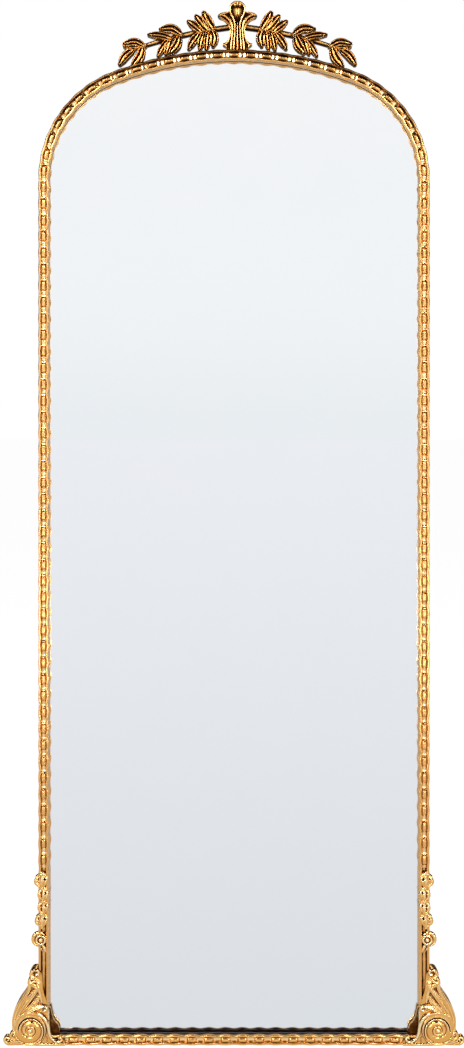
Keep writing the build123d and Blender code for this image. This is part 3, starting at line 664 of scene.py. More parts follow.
def relief_piece(name, relief, back, middle, side, material, replaced):
    """Closes a relief into a solid: front, sides on the outline and a back at its own depths.

    Middle is where the relief's zero lies in the frame; on side -1 the relief is mirrored.
    """
    softness = settings()[1].softness / MM
    height = relief.spread(relief.height, softness)
    # Deep ground is darkened as brown toning and painted shade
    wear = relief.wear() * np.interp(relief.height, (DARK_GROUND, GILDED_GROUND), (0.05, 1.0))
    inside = relief.inside
    solid = inside > 0
    cells = solid[:-1, :-1] | solid[1:, :-1] | solid[:-1, 1:] | solid[1:, 1:]
    slope_up, slope_across = np.gradient(inside, relief.grain)
    steep = np.maximum(slope_up**2 + slope_across**2, 0.2)
    shift = np.where(solid, 0, np.clip(-inside, 0, relief.grain) / steep)
    across = relief.across + shift * slope_across
    up = relief.up + shift * slope_up
    used = np.zeros(inside.shape, dtype=bool)
    for rows, columns in ((0, 0), (1, 0), (0, 1), (1, 1)):
        used[rows:rows + cells.shape[0], columns:columns + cells.shape[1]] |= cells
    count = int(used.sum())
    index = np.full(inside.shape, -1)
    index[used] = np.arange(count)
    front = quads(index)[cells]
    edges = np.vstack([front[:, [side, (side + 1) % 4]] for side in range(4)])
    sorted_edges = np.sort(edges, axis=1)
    keys = sorted_edges[:, 0] * count + sorted_edges[:, 1]
    _, first, uses = np.unique(keys, return_index=True, return_counts=True)
    rim = edges[first[uses == 1]]
    back_depth = np.broadcast_to(back, inside.shape)
    u, v = np.tile(across[used], 2), np.tile(up[used], 2)
    y = np.concatenate([lip_y - height[used], lip_y + back_depth[used]])
    points = np.stack([middle[0] + side * u, y, middle[1] + v], axis=1)
    sides = np.stack([rim[:, 0], rim[:, 0] + count, rim[:, 1] + count, rim[:, 1]], axis=1)
    faces = np.vstack([front, front[:, ::-1] + count, sides])
    if side < 0:
        faces = faces[:, ::-1]
    shades = np.concatenate([wear[used], np.full(count, 0.4)])
    return new_piece(name, points, faces.tolist(), shades, material, replaced,
                     55.0)


def cut_at_arch(relief, side=1):
    """Ends a casting of the crest on the arch, which it enters by a hair."""
    stations, _ = arch_stations(2.0)
    order = np.argsort(stations[:, 0])
    edge = np.interp(crest_x + side * relief.across, stations[order, 0], stations[order, 1])
    relief.inside = np.minimum(relief.inside, relief.up - (edge - crown_height) + 0.4)


# Leaves of a laurel branch from the crest's axis and the crown: stalk, tip, width and bend
LEAVES = (
    ((165.0, 5.5), (183.5, -29.0), 17.0, -3.0),
    ((180.0, 1.5), (206.0, -25.5), 15.5, 3.0),
    ((172.0, 4.0), (198.5, 4.5), 8.5, -1.0),
    ((161.0, 5.0), (198.5, 10.0), 14.0, 6.0),
    ((121.0, 18.0), (139.0, -11.0), 12.5, 0.5),
    ((117.0, 18.0), (125.5, -8.0), 12.5, 0.0),
    ((101.0, 25.0), (116.5, -5.5), 16.5, -3.0),
    ((114.0, 19.0), (155.0, 26.0), 13.0, 2.0),
    ((97.0, 26.0), (134.0, 35.5), 16.0, 6.0),
    ((67.0, 29.0), (85.0, 2.0), 14.5, 1.0),
    ((59.0, 31.0), (66.0, 0.0), 13.0, 0.5),
    ((51.0, 33.0), (54.5, 0.5), 13.0, 0.0),
    ((44.0, 35.0), (42.5, 6.5), 15.0, -3.5),
    ((62.0, 30.0), (85.5, 49.0), 15.0, 1.0),
    ((51.0, 33.0), (72.0, 58.0), 16.5, 0.0),
    ((42.0, 35.0), (58.5, 64.0), 18.0, -1.5),
)
BRANCH_STEM = ((9.0, 41.5), (52.0, 35.0), (92.0, 27.0), (140.0, 15.0), (184.0, 0.5))


def branch_relief(side, grain):
    """Laurel branch: its stem and its ribbed leaves."""
    relief = Relief((6.0, -40.0), (212.0, 72.0), grain, ground=-9.5)
    relief.stroke(BRANCH_STEM, (10.4, 10.0, 9.4, 8.4, 6.4), (-9.0, -8.4, -8.4, -8.6, -9.0), crown=4.8,
                  count=40)
    for order, (stalk, tip, width, bend) in enumerate(LEAVES):
        stalk, tip = np.array(stalk), np.array(tip)
        run = tip - stalk
        leftward = np.array([-run[1], run[0]]) / np.hypot(*run)
        middle = (stalk + tip) / 2 + leftward * bend
        lift = 0.25 * (order % 3)
        relief.stroke((stalk, middle, tip), width * np.array([0.4, 0.85, 1.0, 1.0, 0.88, 0.5]),
                      np.array([-4.6, -3.4, -2.8, -2.9, -3.6]) + lift, crown=1.7, rim=2.4, rib=0.8,
                      hollow=2.4, count=18)
    cut_at_arch(relief, side)
    return relief


# Strokes of the palmette's right half: points, widths, bases and crown
PALMETTE_STROKES = (
    # Outer rib of the column, out along the horn
    (((12, -4), (11, 8), (9.6, 22), (8.8, 34), (11.5, 47), (17.5, 55.5), (26, 60), (33, 59.8)),
     (4.0, 3.6, 3.4, 3.6, 4.4, 5.2, 4.6, 2.6), (-2.0, -1.6, -1.6, -1.4, -1.0, -0.8, -0.9, -1.6), 2.8),
    # Upper edge of the horn
    (((13.5, 65.2), (20, 63.8), (27, 62.8), (34, 59.8)),
     (2.4, 3.6, 3.4, 2.0), (-1.2, -1.0, -1.0, -1.8), 2.2),
    # Edge of the column and of the horn's under side
    (((24.5, 8.8), (18.5, 11.5), (14.4, 19), (12.6, 30), (13.6, 39), (17.5, 46.5), (24, 52.6),
      (31.5, 56.8)),
     (4.4, 4.0, 2.8, 2.4, 2.6, 3.0, 3.2, 2.0), (-2.2, -2.0, -1.8, -1.8, -1.6, -1.6, -1.8), 2.0),
    # Inner rib of the column, up round the bulb
    (((6.6, -4), (5.8, 12), (4.8, 28), (4.6, 42), (6.4, 51), (10.6, 60), (13.0, 68), (11.0, 76.5),
      (5.2, 81.6), (0, 82.4)),
     (4.4, 3.8, 3.2, 3.2, 3.4, 3.8, 4.2, 4.4, 4.4, 4.2),
     (-1.6, -1.0, -0.8, -0.6, 0.0, 0.5, 0.9, 0.9, 0.7, 0.6), 2.9),
    # Toe of the column
    (((25.2, 8.6), (21.5, 7.8), (19.0, 3.5)), (4.6, 4.8, 2.6), (-1.4,), 2.4),
)


def palmette_relief(grain):
    """Palmette: a bulb on a waisted, ribbed column between two horns."""
    relief = Relief((-37.0, -7.0), (37.0, 87.0), grain)
    half = smooth_line([(0, 84.5), (8.5, 83), (14.0, 77.5), (15.4, 71), (14.2, 65.5)], 24)
    horn = smooth_line([(14.2, 65.5), (20, 66.2), (27, 64.8), (34.8, 59.5)], 16)
    under = smooth_line([(34.8, 59.5), (31.5, 55.5), (24, 52.3), (18.5, 47.0), (15.0, 40), (12.9, 32),
                         (13.8, 23), (18, 14), (26, 9.5)], 40)
    foot = np.array([(26.0, 9.5), (25.0, 7.3), (20.0, 4.0), (16.0, -1.0), (14.0, -6.0)])
    right = np.vstack([half, horn[1:], under[1:], foot[1:]])
    outline = np.vstack([right, right[::-1] * (-1, 1)])
    relief.plate(outline, -2.6, 1.8)
    for side in (1, -1):
        for points, widths, base, crown in PALMETTE_STROKES:
            relief.stroke(np.array(points) * (side, 1), widths, base, crown=crown, outline=False)
    relief.stroke([(0, -4), (0, 20), (0, 40), (0, 53), (0, 60.5)], (3.8, 3.2, 2.9, 2.6, 1.2),
                  (-1.0, -0.4, 0.0, 0.2, -0.6), crown=2.8, outline=False)
    # Hollow of the bulb, with three small beads over it
    relief.dome((0, 70.5), (11.0, 15.0), 0.4, 3.4, carve=True)
    relief.dome((0, 64.5), (4.5, 11.0), -1.0, 2.4, carve=True)
    for out, height in ((-4.6, 77.6), (0, 79.2), (4.6, 77.6)):
        relief.dome((out, height), (4.6, 5.2), 0.2, 2.8)
    cut_at_arch(relief)
    return relief


# Foot castings of the right side, measured from the middle of the frame and from the floor
VOLUTE_CENTRE = (357.0, 29.5)
VOLUTE_RADIUS = 28.0


def bracket_relief(grain):
    """Volute with the scroll that runs from it onto the bottom rail."""
    relief = Relief((292.0, 1.5), (388.0, 68.0), grain)
    ring = [(VOLUTE_CENTRE[0] + VOLUTE_RADIUS * math.cos(math.radians(angle)),
             VOLUTE_CENTRE[1] + VOLUTE_RADIUS * math.sin(math.radians(angle)))
            for angle in range(-90, 91, 6)]
    scroll = smooth_line([(357, 57.5), (346, 59.8), (337, 62), (330, 65), (325.2, 64.2), (323.8, 52),
                          (323.0, 39.5), (320.8, 21), (316.8, 12.2), (311, 8.9), (306.8, 9.5),
                          (305.5, 13.0), (303.8, 17.0), (300.2, 17.2), (297.8, 13.5), (296.0, 7.0)], 70)
    outline = np.vstack([ring, scroll[1:], [(295.0, 0.5)], [(357.0, 0.5)]])
    relief.plate(outline, -0.4, 1.4)
    # Web between the scroll and the glass, sunk to the dark ground: brown toning and painted shade
    web = np.array([(325.6, 66.0), (322.0, 64.5), (320.0, 54.0), (317.5, 46.0), (314.0, 40.0),
                    (309.0, 35.5), (306.5, 28.0), (305.5, 19.2), (305.5, 15.0), (325.6, 15.0)])
    relief.plate(web, -5.6, 1.0)
    # Turns of the volute climb towards the eye
    part = relief.window(np.array([VOLUTE_CENTRE, VOLUTE_CENTRE]), VOLUTE_RADIUS)
    across = relief.across[part] - VOLUTE_CENTRE[0]
    up = relief.up[part] - VOLUTE_CENTRE[1]
    radius = np.hypot(across, up)
    angle = np.arctan2(up, across) / (2 * math.pi)
    wound = np.log(np.maximum(radius, 1.0) / VOLUTE_RADIUS) / math.log(0.5) + angle
    turn = wound - np.floor(wound)
    band = np.sqrt(np.clip(1 - np.abs(2 * turn - 1) ** 2.6, 0, 1))
    depth = np.clip(radius / 9.0, 0.35, 1)
    height = 1.0 + 4.2 * np.clip(1 - radius / VOLUTE_RADIUS, 0, 1) + 3.2 * depth * (band - 0.6)
    relief.lay(part, VOLUTE_RADIUS - 0.3 - radius, np.where(radius < VOLUTE_RADIUS, height, -9))
    relief.dome(VOLUTE_CENTRE, (7.0, 7.0), 4.4, 3.0)
    # Scroll band over the top of the volute and down the inner edge to the rail's curl
    relief.stroke([(385.0, 31.0), (382.5, 43.5), (372.0, 55.0), (357.5, 59.0), (343.0, 57.0),
                   (332.0, 49.5), (325.5, 37.0), (322.6, 22.0), (317.0, 12.6), (309.5, 10.0)],
                  (4.0, 5.4, 6.2, 6.4, 6.4, 6.2, 6.0, 5.6, 5.0, 4.0),
                  (0.2, 0.8, 1.2, 1.4, 1.4, 1.2, 0.8, 0.4, 0.2, 0.0), crown=2.4, count=60)
    relief.stroke([(378.0, 27.0), (375.0, 38.5), (366.0, 48.0), (354.0, 50.5), (342.5, 46.0),
                   (334.5, 36.5), (332.5, 25.0), (336.0, 14.0), (345.0, 6.5)],
                  (1.4, 2.2, 2.6, 2.8, 2.8, 2.6, 2.4, 2.0, 1.2), (2.0,), crown=1.6, carve=True,
                  count=50)
    # Curl where the scroll lands on the rail
    relief.stroke([(314.0, 10.5), (308.5, 8.6), (303.0, 10.2), (301.2, 14.0), (303.6, 16.4),
                   (306.0, 14.6)], (4.8, 4.8, 4.6, 4.2, 3.4, 2.6), (0.3, 0.8, 1.0, 1.2, 1.4, 1.6),
                  crown=2.4, count=40)
    # Plinth band along the bottom
    relief.stroke([(293.0, 3.6), (330.0, 3.6), (370.0, 3.8)], (4.4, 4.6, 4.0), (-0.2, 0.0, 0.2),
                  crown=1.6, outline=False)
    return relief


def acanthus_relief(grain):
    """Acanthus leaf: four fluted fronds that curl over at their tips."""
    relief = Relief((324.0, 26.0), (390.0, 141.0), grain)
    spine = smooth_line([(386.4, 29.5), (385.0, 50), (378.0, 72), (368.5, 90), (361.0, 102),
                         (361.0, 113), (352.5, 119.5), (357.0, 127), (354.0, 134.5), (346.0, 137.0),
                         (338.0, 131.5), (335.0, 118), (333.0, 96), (326.5, 76), (325.2, 66.0),
                         (334, 63.0), (346, 59.8), (357, 57.5)], 90)
    relief.plate(np.vstack([spine, [(372.0, 53.0), (381.0, 44.0), (385.0, 30.0)]]), 0.9, 1.8)
    fronds = (
        (((385.2, 30), (383.4, 50), (374.5, 74), (364.5, 91), (357.8, 103), (357.0, 110.5),
          (351.5, 113.5)), (5.5, 8.5, 10.0, 9.5, 8.0, 6.5, 4.0), (-0.4, 0.4, 0.9, 1.2, 1.6, 2.0, 2.2)),
        (((382.0, 36), (378.0, 53), (367.5, 72), (355.0, 88), (346.0, 99), (341.5, 104.5)),
         (5.0, 9.5, 11.5, 11.0, 9.0, 5.0), (-0.2, 0.8, 1.2, 1.5, 1.8, 1.8)),
        (((378.0, 41), (370.0, 54), (358.0, 66.5), (347.0, 78), (340.0, 88.5)),
         (5.0, 9.0, 10.5, 9.5, 5.0), (0.2, 1.0, 1.4, 1.4, 1.0)),
        (((374.5, 47), (361.5, 60), (348.0, 68.0), (336.5, 71.0), (328.5, 70.0), (327.5, 65.5),
          (332.0, 64.0)), (4.5, 7.5, 8.0, 7.5, 6.0, 4.6, 3.0), (0.6, 1.4, 1.8, 2.0, 2.2, 2.4, 2.6)),
    )
    for points, widths, base in fronds:
        relief.stroke(points, widths, base, crown=2.2, rim=0.9, rib=0.5, hollow=0.7, count=48)
    curls = (
        (((341.0, 96), (347.5, 104.5), (355.5, 109.5), (358.0, 115.5), (353.5, 119.8), (348.0, 116.8),
          (349.8, 113.0)), (5.0, 6.4, 6.4, 5.6, 5.0, 4.2, 3.0)),
        (((338.0, 98), (341.0, 110.5), (349.5, 119.0), (355.0, 127.0), (350.5, 134.0), (343.0, 133.0),
          (341.8, 127.6), (346.4, 126.2)), (5.0, 6.6, 7.0, 6.6, 6.0, 5.0, 4.0, 3.0)),
        (((336.6, 78), (338.5, 90), (341.0, 101), (344.0, 108)), (3.0, 4.6, 4.6, 3.0)),
    )
    for points, widths in curls:
        relief.stroke(points, widths, (1.0, 1.4, 2.0, 2.4), crown=2.1, hollow=0.6, count=40)
    return relief


def toe_relief(grain):
    """Small lobed leaf at the outside of the foot."""
    relief = Relief((358.0, 1.5), (406.0, 30.0), grain)
    lobes = (
        (((372, 3.5), (386, 3.2), (397, 5.0), (401.5, 10.5), (398.2, 15.2), (393.8, 12.6), (396, 9.8)),
         (6.0, 6.4, 6.6, 6.2, 5.4, 4.2, 3.0)),
        (((374, 8), (384, 10.5), (390.5, 15.5), (390.0, 21.0), (386.0, 24.2), (383.8, 20.6),
          (386.6, 18.6)), (6.0, 7.2, 7.0, 6.0, 5.0, 4.0, 2.8)),
        (((370, 5), (380, 6.0), (390, 9.5)), (7.0, 8.0, 5.0)),
        (((376, 14), (381.0, 17.0), (384.0, 22.0)), (8.0, 8.0, 5.0)),
    )
    for points, widths in lobes:
        relief.stroke(points, widths, (-3.6, -2.6, -1.8, -1.2), crown=2.3, hollow=0.5, count=36)
    relief.inside = np.minimum(relief.inside, relief.up - 1.5)
    return relief


def husk_relief(grain):
    """Drop of four husks; each opens into three lobes over the next."""
    relief = Relief((318.0, 200.0), (352.0, 308.0), grain, ground=-7.0)
    husks = (
        (336.0, 221.0, 11.0, 14.0, 3.0),
        (333.6, 243.5, 9.4, 13.0, 1.5),
        (333.6, 266.0, 9.4, 13.0, 1.5),
        (336.2, 290.0, 11.6, 14.5, 3.5),
    )
    for out, height, half_across, half_up, bulge in husks:
        top, foot = height + half_up, height - half_up
        relief.dome((out - 0.6, height + 2), (1.5 * half_across, 2.0 * half_up), -4.6, 3.4)
        for lean, width in ((-0.62, 0.72), (0.62, 0.78)):
            relief.stroke([(out, top - 2), (out + lean * half_across, height + 3.5),
                           (out + (lean * 1.1 + 0.05 * bulge) * half_across, height - 3.5),
                           (out + 0.35 * lean * half_across, foot + 1.5)],
                          np.array([0.35, 0.95, 0.85, 0.35]) * half_across * width,
                          (-3.0, -1.6, -1.4, -2.6), crown=2.8, hollow=0.5, count=24)
        relief.stroke([(out, top - 1.0), (out - 0.8, height + 2.0), (out, foot + 0.5)],
                      np.array([0.35, 0.62, 0.5]) * half_across, (-1.6, -0.2, -1.6), crown=2.6, rim=0.5,
                      count=20)
        relief.dome((out + 0.3, top - 3.2), (0.95 * half_across, 6.2), -1.6, 3.4)
        for lean in (-0.45, 0.5):
            relief.dome((out + lean * half_across, height + 2.5), (3.4, 5.0), -1.2, 2.4, carve=True)
        relief.stroke([(out - 0.75 * half_across, top - 7), (out - 0.3, top - 1.2),
                       (out + 0.85 * half_across, top - 7.5)], (3.0, 3.8, 3.0), (-2.4, -1.2, -2.2),
                      crown=2.4, count=20)
    return relief


def rosette_relief(grain):
    """Ringed boss with a crescent leaf round its outer side and a small tail below."""
    relief = Relief((322.0, 158.0), (357.0, 203.0), grain, ground=-7.0)
    centre = (340.0, 187.0)
    relief.dome(centre, (27.5, 27.5), -4.8, 3.0)
    angles = np.radians(np.arange(-95, 135, 12))
    crescent = [(centre[0] + 11.6 * math.cos(a), centre[1] + 11.6 * math.sin(a)) for a in angles]
    relief.stroke(crescent, (2.0, 4.6, 6.0, 6.4, 5.6, 4.2, 2.0), (-3.0, -1.6, -1.2, -1.6, -3.0),
                  crown=3.0, rim=0.8, hollow=0.8, count=50)
    ring_angles = np.radians(np.arange(0, 361, 20))
    ring_centre = (centre[0] - 1.8, centre[1] - 0.6)
    ring = [(ring_centre[0] + 7.4 * math.cos(a), ring_centre[1] + 7.4 * math.sin(a))
            for a in ring_angles]
    relief.stroke(ring, (4.0, 4.0), (0.2,), crown=2.4, count=60)
    relief.dome(ring_centre, (8.4, 8.4), -0.6, 4.2)
    relief.stroke([(336.0, 178.5), (332.0, 171.5), (328.8, 163.5)], (5.0, 5.4, 1.6),
                  (-2.2, -2.2, -3.6), crown=2.6, rim=0.4, count=20)
    relief.stroke([(342.0, 175.0), (337.5, 170.0), (335.0, 164.5)], (4.0, 3.8, 1.4),
                  (-3.2, -3.0, -4.0), crown=2.2, count=20)
    return relief


# Shader helpers

def linear(hex_value):
    """Linear colour of an sRGB hex value."""
    channels = [int(hex_value[place:place + 2], 16) / 255 for place in (0, 2, 4)]
    return [c / 12.92 if c <= 0.04045 else ((c + 0.055) / 1.055) ** 2.4 for c in channels] + [1.0]


def connect(tree, node, sockets):
    """Links a node's sockets to other sockets, or sets them to plain values."""
    for name, value in sockets.items():
        if isinstance(value, bpy.types.NodeSocket):
            tree.links.new(value, node.inputs[name])
        else:
            node.inputs[name].default_value = value


def add_node(tree, kind, sockets=None, **details):
    """Adds a node, with its details, and sets or links its sockets."""
    node = tree.nodes.new(kind)
    for name, value in details.items():
        setattr(node, name, value)
    connect(tree, node, sockets or {})
    return node


def calculated(tree, operation, *values, **details):
    """Result of a sum over values and sockets."""
    return add_node(tree, "ShaderNodeMath", dict(enumerate(values)), operation=operation,
                    **details).outputs[0]


def empty_tree(owner):
    """Node tree of a material or a world, cleared."""
    owner.use_nodes = True
    owner.node_tree.nodes.clear()
    return owner.node_tree


def new_material(name):
    """Material with only its principled shader on the output."""
    material = bpy.data.materials.new(name)
    tree = empty_tree(material)
    shader = add_node(tree, "ShaderNodeBsdfPrincipled")
    add_node(tree, "ShaderNodeOutputMaterial", {"Surface": shader.outputs[0]})
    return material, tree, shader


def object_noise(tree, size_mm, detail=2.0, stretch=(1, 1, 1)):
    """Value of a noise whose grains are about the given size on the real object."""
    place = add_node(tree, "ShaderNodeTexCoord")
    scaled = add_node(tree, "ShaderNodeMapping", {"Vector": place.outputs["Object"], "Scale": stretch})
    return add_node(tree, "ShaderNodeTexNoise", {
        "Vector": scaled.outputs[0], "Scale": 1 / (size_mm * MM), "Detail": detail,
    }).outputs["Fac"]


def mixed(tree, factor, first, second):
    """Colour between two others."""
    node = add_node(tree, "ShaderNodeMix", {"Factor": factor, 6: first, 7: second}, data_type="RGBA")
    return node.outputs[2]


def ranged(tree, value, low, high, first=0.0, last=1.0, kind="SMOOTHSTEP"):
    """Value taken from one range to another."""
    return add_node(tree, "ShaderNodeMapRange", {
        "Value": value, "From Min": low, "From Max": high, "To Min": first, "To Max": last,
    }, interpolation_type=kind).outputs[0]


def bumped(tree, height, strength, depth_mm):
    """Normal of a surface that a height makes rough."""
    return add_node(tree, "ShaderNodeBump", {
        "Height": height, "Strength": strength, "Distance": depth_mm * MM,
    }).outputs[0]


def gilding(name, toned, gold):
    """Burnished gold leaf over gesso, toned with brown glaze and rubbed back by hand.

    The glaze stays in the hollows, so they read dark red-brown, and the rubbed high points flash pale
    yellow; the wear attribute also carries painted shade and painted highlights on some pieces. A metal
    keeps the default IOR.
    """
    finish = settings()[2]
    material, tree, shader = new_material(name)
    wear = add_node(tree, "ShaderNodeAttribute", attribute_name="wear").outputs["Fac"]
    cloud = object_noise(tree, 14.0, 3.0)
    speckle = object_noise(tree, 1.6, 4.0)
    softened = calculated(tree, "MULTIPLY_ADD", cloud, 0.30, wear)
    uneven = calculated(tree, "MULTIPLY_ADD", speckle, 0.22, softened)
    # The toning level is set per material; the feet's lower level is painted light.
    # Levels of wear at which patina, gilding and bare rubbed gold take over
    level = 0.26 + toned
    gilded = ranged(tree, uneven, level + 0.10, level + 0.42)
    rubbed = ranged(tree, uneven, level + 0.72, level + 1.02)
    hollow = ranged(tree, uneven, level - 0.08, level + 0.18)
    toning = mixed(tree, hollow, linear(finish.deep_patina), linear(finish.patina))
    leaf = mixed(tree, gilded, toning, linear(gold))
    ripple = object_noise(tree, 6.0, 2.0)
    fine = object_noise(tree, 0.7, 3.0)
    surface = calculated(tree, "MULTIPLY_ADD", fine, 0.35, ripple)
    connect(tree, shader, {
        "Metallic": 1.0,
        "Base Color": mixed(tree, rubbed, leaf, linear(finish.worn_gold)),
        "Roughness": ranged(tree, uneven, level, level + 0.9, 0.34, 0.13),
        "Normal": bumped(tree, surface, 0.5, 0.35),
    })
    return material


def float_glass():
    """Clear float glass, 4 mm: colourless, so that the silver behind it gives the whole picture."""
    material, tree, shader = new_material("Clear float glass")
    connect(tree, shader, {
        "IOR": 1.52,
        "Transmission Weight": 1.0,
        "Roughness": 0.0,
        "Base Color": mixed(tree, object_noise(tree, 90.0), linear("FFFFFF"), linear("FEFFFF")),
    })
    return material


def silvering():
    """Chemically deposited silver behind the glass: a bright neutral reflection."""
    material, tree, shader = new_material("Deposited mirror silver")
    connect(tree, shader, {
        "Metallic": 1.0,
        "Roughness": 0.0,
        "Base Color": mixed(tree, object_noise(tree, 120.0), linear("FCFCFE"), linear("FAFBFD")),
    })
    return material


def fibreboard():
    """Medium density fibreboard, sealed with a thin brown stain: fine mottled fibres."""
    finish = settings()[2]
    material, tree, shader = new_material("Stained fibreboard")
    fibres = object_noise(tree, 1.1, 5.0, (1.0, 1.0, 0.35))
    mottle = ranged(tree, object_noise(tree, 35.0, 3.0), 0.35, 0.7, 0.0, 0.45)
    base = mixed(tree, fibres, linear("574028"), linear(finish.board))
    connect(tree, shader, {
        "Base Color": mixed(tree, mottle, base, linear("84664A")),
        "Roughness": ranged(tree, fibres, 0.3, 0.7, 0.68, 0.86),
        "Normal": bumped(tree, fibres, 0.35, 0.3),
    })
    return material


def plated_steel(name="Zinc plated steel", tint="C9CBC6", streak=(1.0, 1.0, 0.15)):
    """Bright zinc on pressed steel: greyish white with fine drawing lines and soft clouds."""
    material, tree, shader = new_material(name)
    lines = object_noise(tree, 0.8, 4.0, streak)
    connect(tree, shader, {
        "Metallic": 1.0,
        "Base Color": mixed(tree, object_noise(tree, 5.0, 2.0), linear("A9ACA9"), linear(tint)),
        "Roughness": ranged(tree, lines, 0.3, 0.7, 0.24, 0.42),
        "Normal": bumped(tree, lines, 0.25, 0.1),
    })
    return material


def matt_material(name, dark, pale, grain_mm, roughness, stretch=(1, 1, 1), bump_mm=0.2, sheen=0.0):
    """Dull uncoated stuff such as felt, rubber, foam, paper and bare wood, with its own grain."""
    material, tree, shader = new_material(name)
    grain = object_noise(tree, grain_mm, 4.0, stretch)
    connect(tree, shader, {
        "Base Color": mixed(tree, grain, linear(dark), linear(pale)),
        "Roughness": ranged(tree, grain, 0.3, 0.7, roughness - 0.07, roughness + 0.07),
        "Sheen Weight": sheen,
        "Normal": bumped(tree, grain, 0.5, bump_mm),
    })
    return material


def finish_node(node, material):
    """Gives a CAD node, whose shape stays, its finished material."""
    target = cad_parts[node]
    for place in range(max(len(target.material_slots), 1)):
        if len(target.material_slots) <= place:
            target.data.materials.append(material)
        else:
            target.material_slots[place].material = material


class MirrorOperator:
    """What all operators of the mirror share."""
    bl_options = {"REGISTER", "UNDO"}


# Spacing of the stations along the moulding and along the beading, in millimetres
MOULDING_STEP = 1.0
BEADING_STEP = 0.8


class MIRROR_OT_mouldings(MirrorOperator, bpy.types.Operator):
    """Builds the arch, the stiles and the bottom rail with their scalloped lips"""
    bl_idname = "mirror.mouldings"
    bl_label = "Gilded Mouldings"

    def execute(self, context):
        moulding, _, finish, _ = settings()
        material = gilding("Toned gold leaf on moulding", 0.04, finish.pale_gold)
        stations, length = arch_stations(MOULDING_STEP)
        ripple = bead_ripple(stations, 0.0, length, moulding.arch_beads)
        # Painted shade: the outer lip is toned darker where the arch faces up.
        moulding_piece("gilded_arch_moulding", stations, ripple, (), material, "arch_moulding",
                       outer_lip_wear_and_shade=0.38 - 0.36 * facing_up(stations))
        first = beading_foot - frame_base
        for side_name, side in SIDES:
            stations, length = stile_stations(side, frame_base, MOULDING_STEP)
            ripple = bead_ripple(stations, first, length, moulding.stile_beads)
            foot = 0 if side > 0 else -1
            moulding_piece(f"gilded_{side_name}_stile", stations, ripple, ((foot, 2, 1),), material,
                           f"{side_name}_stile_moulding")
        stations, length = rail_stations(half_width, MOULDING_STEP)
        first = half_width - rail_beading_end
        ripple = bead_ripple(stations, first, length - first, moulding.rail_beads)
        # Painted shade: the rail's sight wall, which faces up, is made dark.
        moulding_piece("gilded_bottom_rail", stations, ripple, ((0, 0, 1), (-1, 0, -1)), material,
                       "bottom_rail_moulding", sight_wall_wear_and_shade=0.0)
        return {"FINISHED"}


class MIRROR_OT_beading(MirrorOperator, bpy.types.Operator):
    """Lays the barrel beads and the saddles between them in the channel"""
    bl_idname = "mirror.beading"
    bl_label = "Gilded Beading"

    def execute(self, context):
        moulding, _, finish, _ = settings()
        material = gilding("Burnished gold leaf on beading", 0.04, finish.pale_gold)
        stations, length = arch_stations(BEADING_STEP)
        beading_piece("gilded_arch_beads", stations, length, moulding.arch_beads, 11, material,
                      "arch_beading")
        for seed, (side_name, side) in enumerate(SIDES, 23):
            stations, length = stile_stations(side, beading_foot, BEADING_STEP)
            beading_piece(f"gilded_{side_name}_stile_beads", stations, length, moulding.stile_beads,
                          seed, material, f"{side_name}_stile_beading")
        stations, length = rail_stations(rail_beading_end, BEADING_STEP)
        beading_piece("gilded_rail_beads", stations, length, moulding.rail_beads, 37, material,
                      "bottom_rail_beading")
        return {"FINISHED"}


# How much deeper the palmette's back lies than the branches'
PALMETTE_STEP = 2


class MIRROR_OT_crest(MirrorOperator, bpy.types.Operator):
    """Models the palmette and the two laurel branches that stand on the arch"""
    bl_idname = "mirror.crest"
    bl_label = "Gilded Crest"

    def execute(self, context):
        _, casting, finish, _ = settings()
        grain = casting.grain / MM
        back = casting.crest_back / MM
        middle = (crest_x, crown_height)
        material = gilding("Toned gold leaf on crest", 0.2, finish.gold)
        for side_name, side in SIDES:
            relief_piece(f"gilded_{side_name}_branch", branch_relief(side, grain), back, middle, side,
                         material, f"{side_name}_laurel_branch")
        relief_piece("gilded_palmette", palmette_relief(grain), back + PALMETTE_STEP, middle, 1,
                     material, "crest_palmette")
        finish_node("crest_pins", plated_steel("Bright drawn steel pins"))
        return {"FINISHED"}


# Depths behind the lips of the backs of the foot castings, in millimetres
TOE_BACK = 12.0
DROP_BACK = 5.5
BACK_ON_LIPS = 4.5
BACK_IN_OPENING = 13.0
THINNEST_CASTING = 1.0


class MIRROR_OT_feet(MirrorOperator, bpy.types.Operator):
    """Models the volutes, acanthus leaves, toes, husk drops and rosettes of both sides"""
    bl_idname = "mirror.feet"
    bl_label = "Gilded Foot Ornament"

    def execute(self, context):
        moulding, casting, finish, _ = settings()
        grain = casting.grain / MM
        width = moulding.moulding_width / MM
        # Painted light: the feet's gilding is toned lighter than the moulding's, so they read brighter
        # as if lit from the floor.
        material = gilding("Gold leaf on castings, lightened as painted light", -0.10, finish.gold)
        makers = (
            ("volute_bracket", bracket_relief, moulding_depth),
            ("acanthus_leaf", acanthus_relief, moulding_depth),
            ("toe_leaf", toe_relief, TOE_BACK),
            ("husk_drop", husk_relief, DROP_BACK),
            ("rosette", rosette_relief, DROP_BACK),
        )
        for name, make, depth in makers:
            relief = make(grain)
            inside_edge = relief.across < half_width - 0.5
            over_stile = inside_edge & (relief.across > half_width - width)
            over_rail = relief.up < frame_base + width
            in_opening = (relief.across <= half_width - width) & ~over_rail
            back = np.full(relief.across.shape, float(depth))
            back[over_stile | (over_rail & inside_edge)] = BACK_ON_LIPS
            back[in_opening] = BACK_IN_OPENING
            back = np.maximum(back, THINNEST_CASTING - relief.height)
            for side_name, side in SIDES:
                relief_piece(f"gilded_{side_name}_{name}", relief, back, (0, 0), side, material,
                             f"{side_name}_{name}")
        return {"FINISHED"}


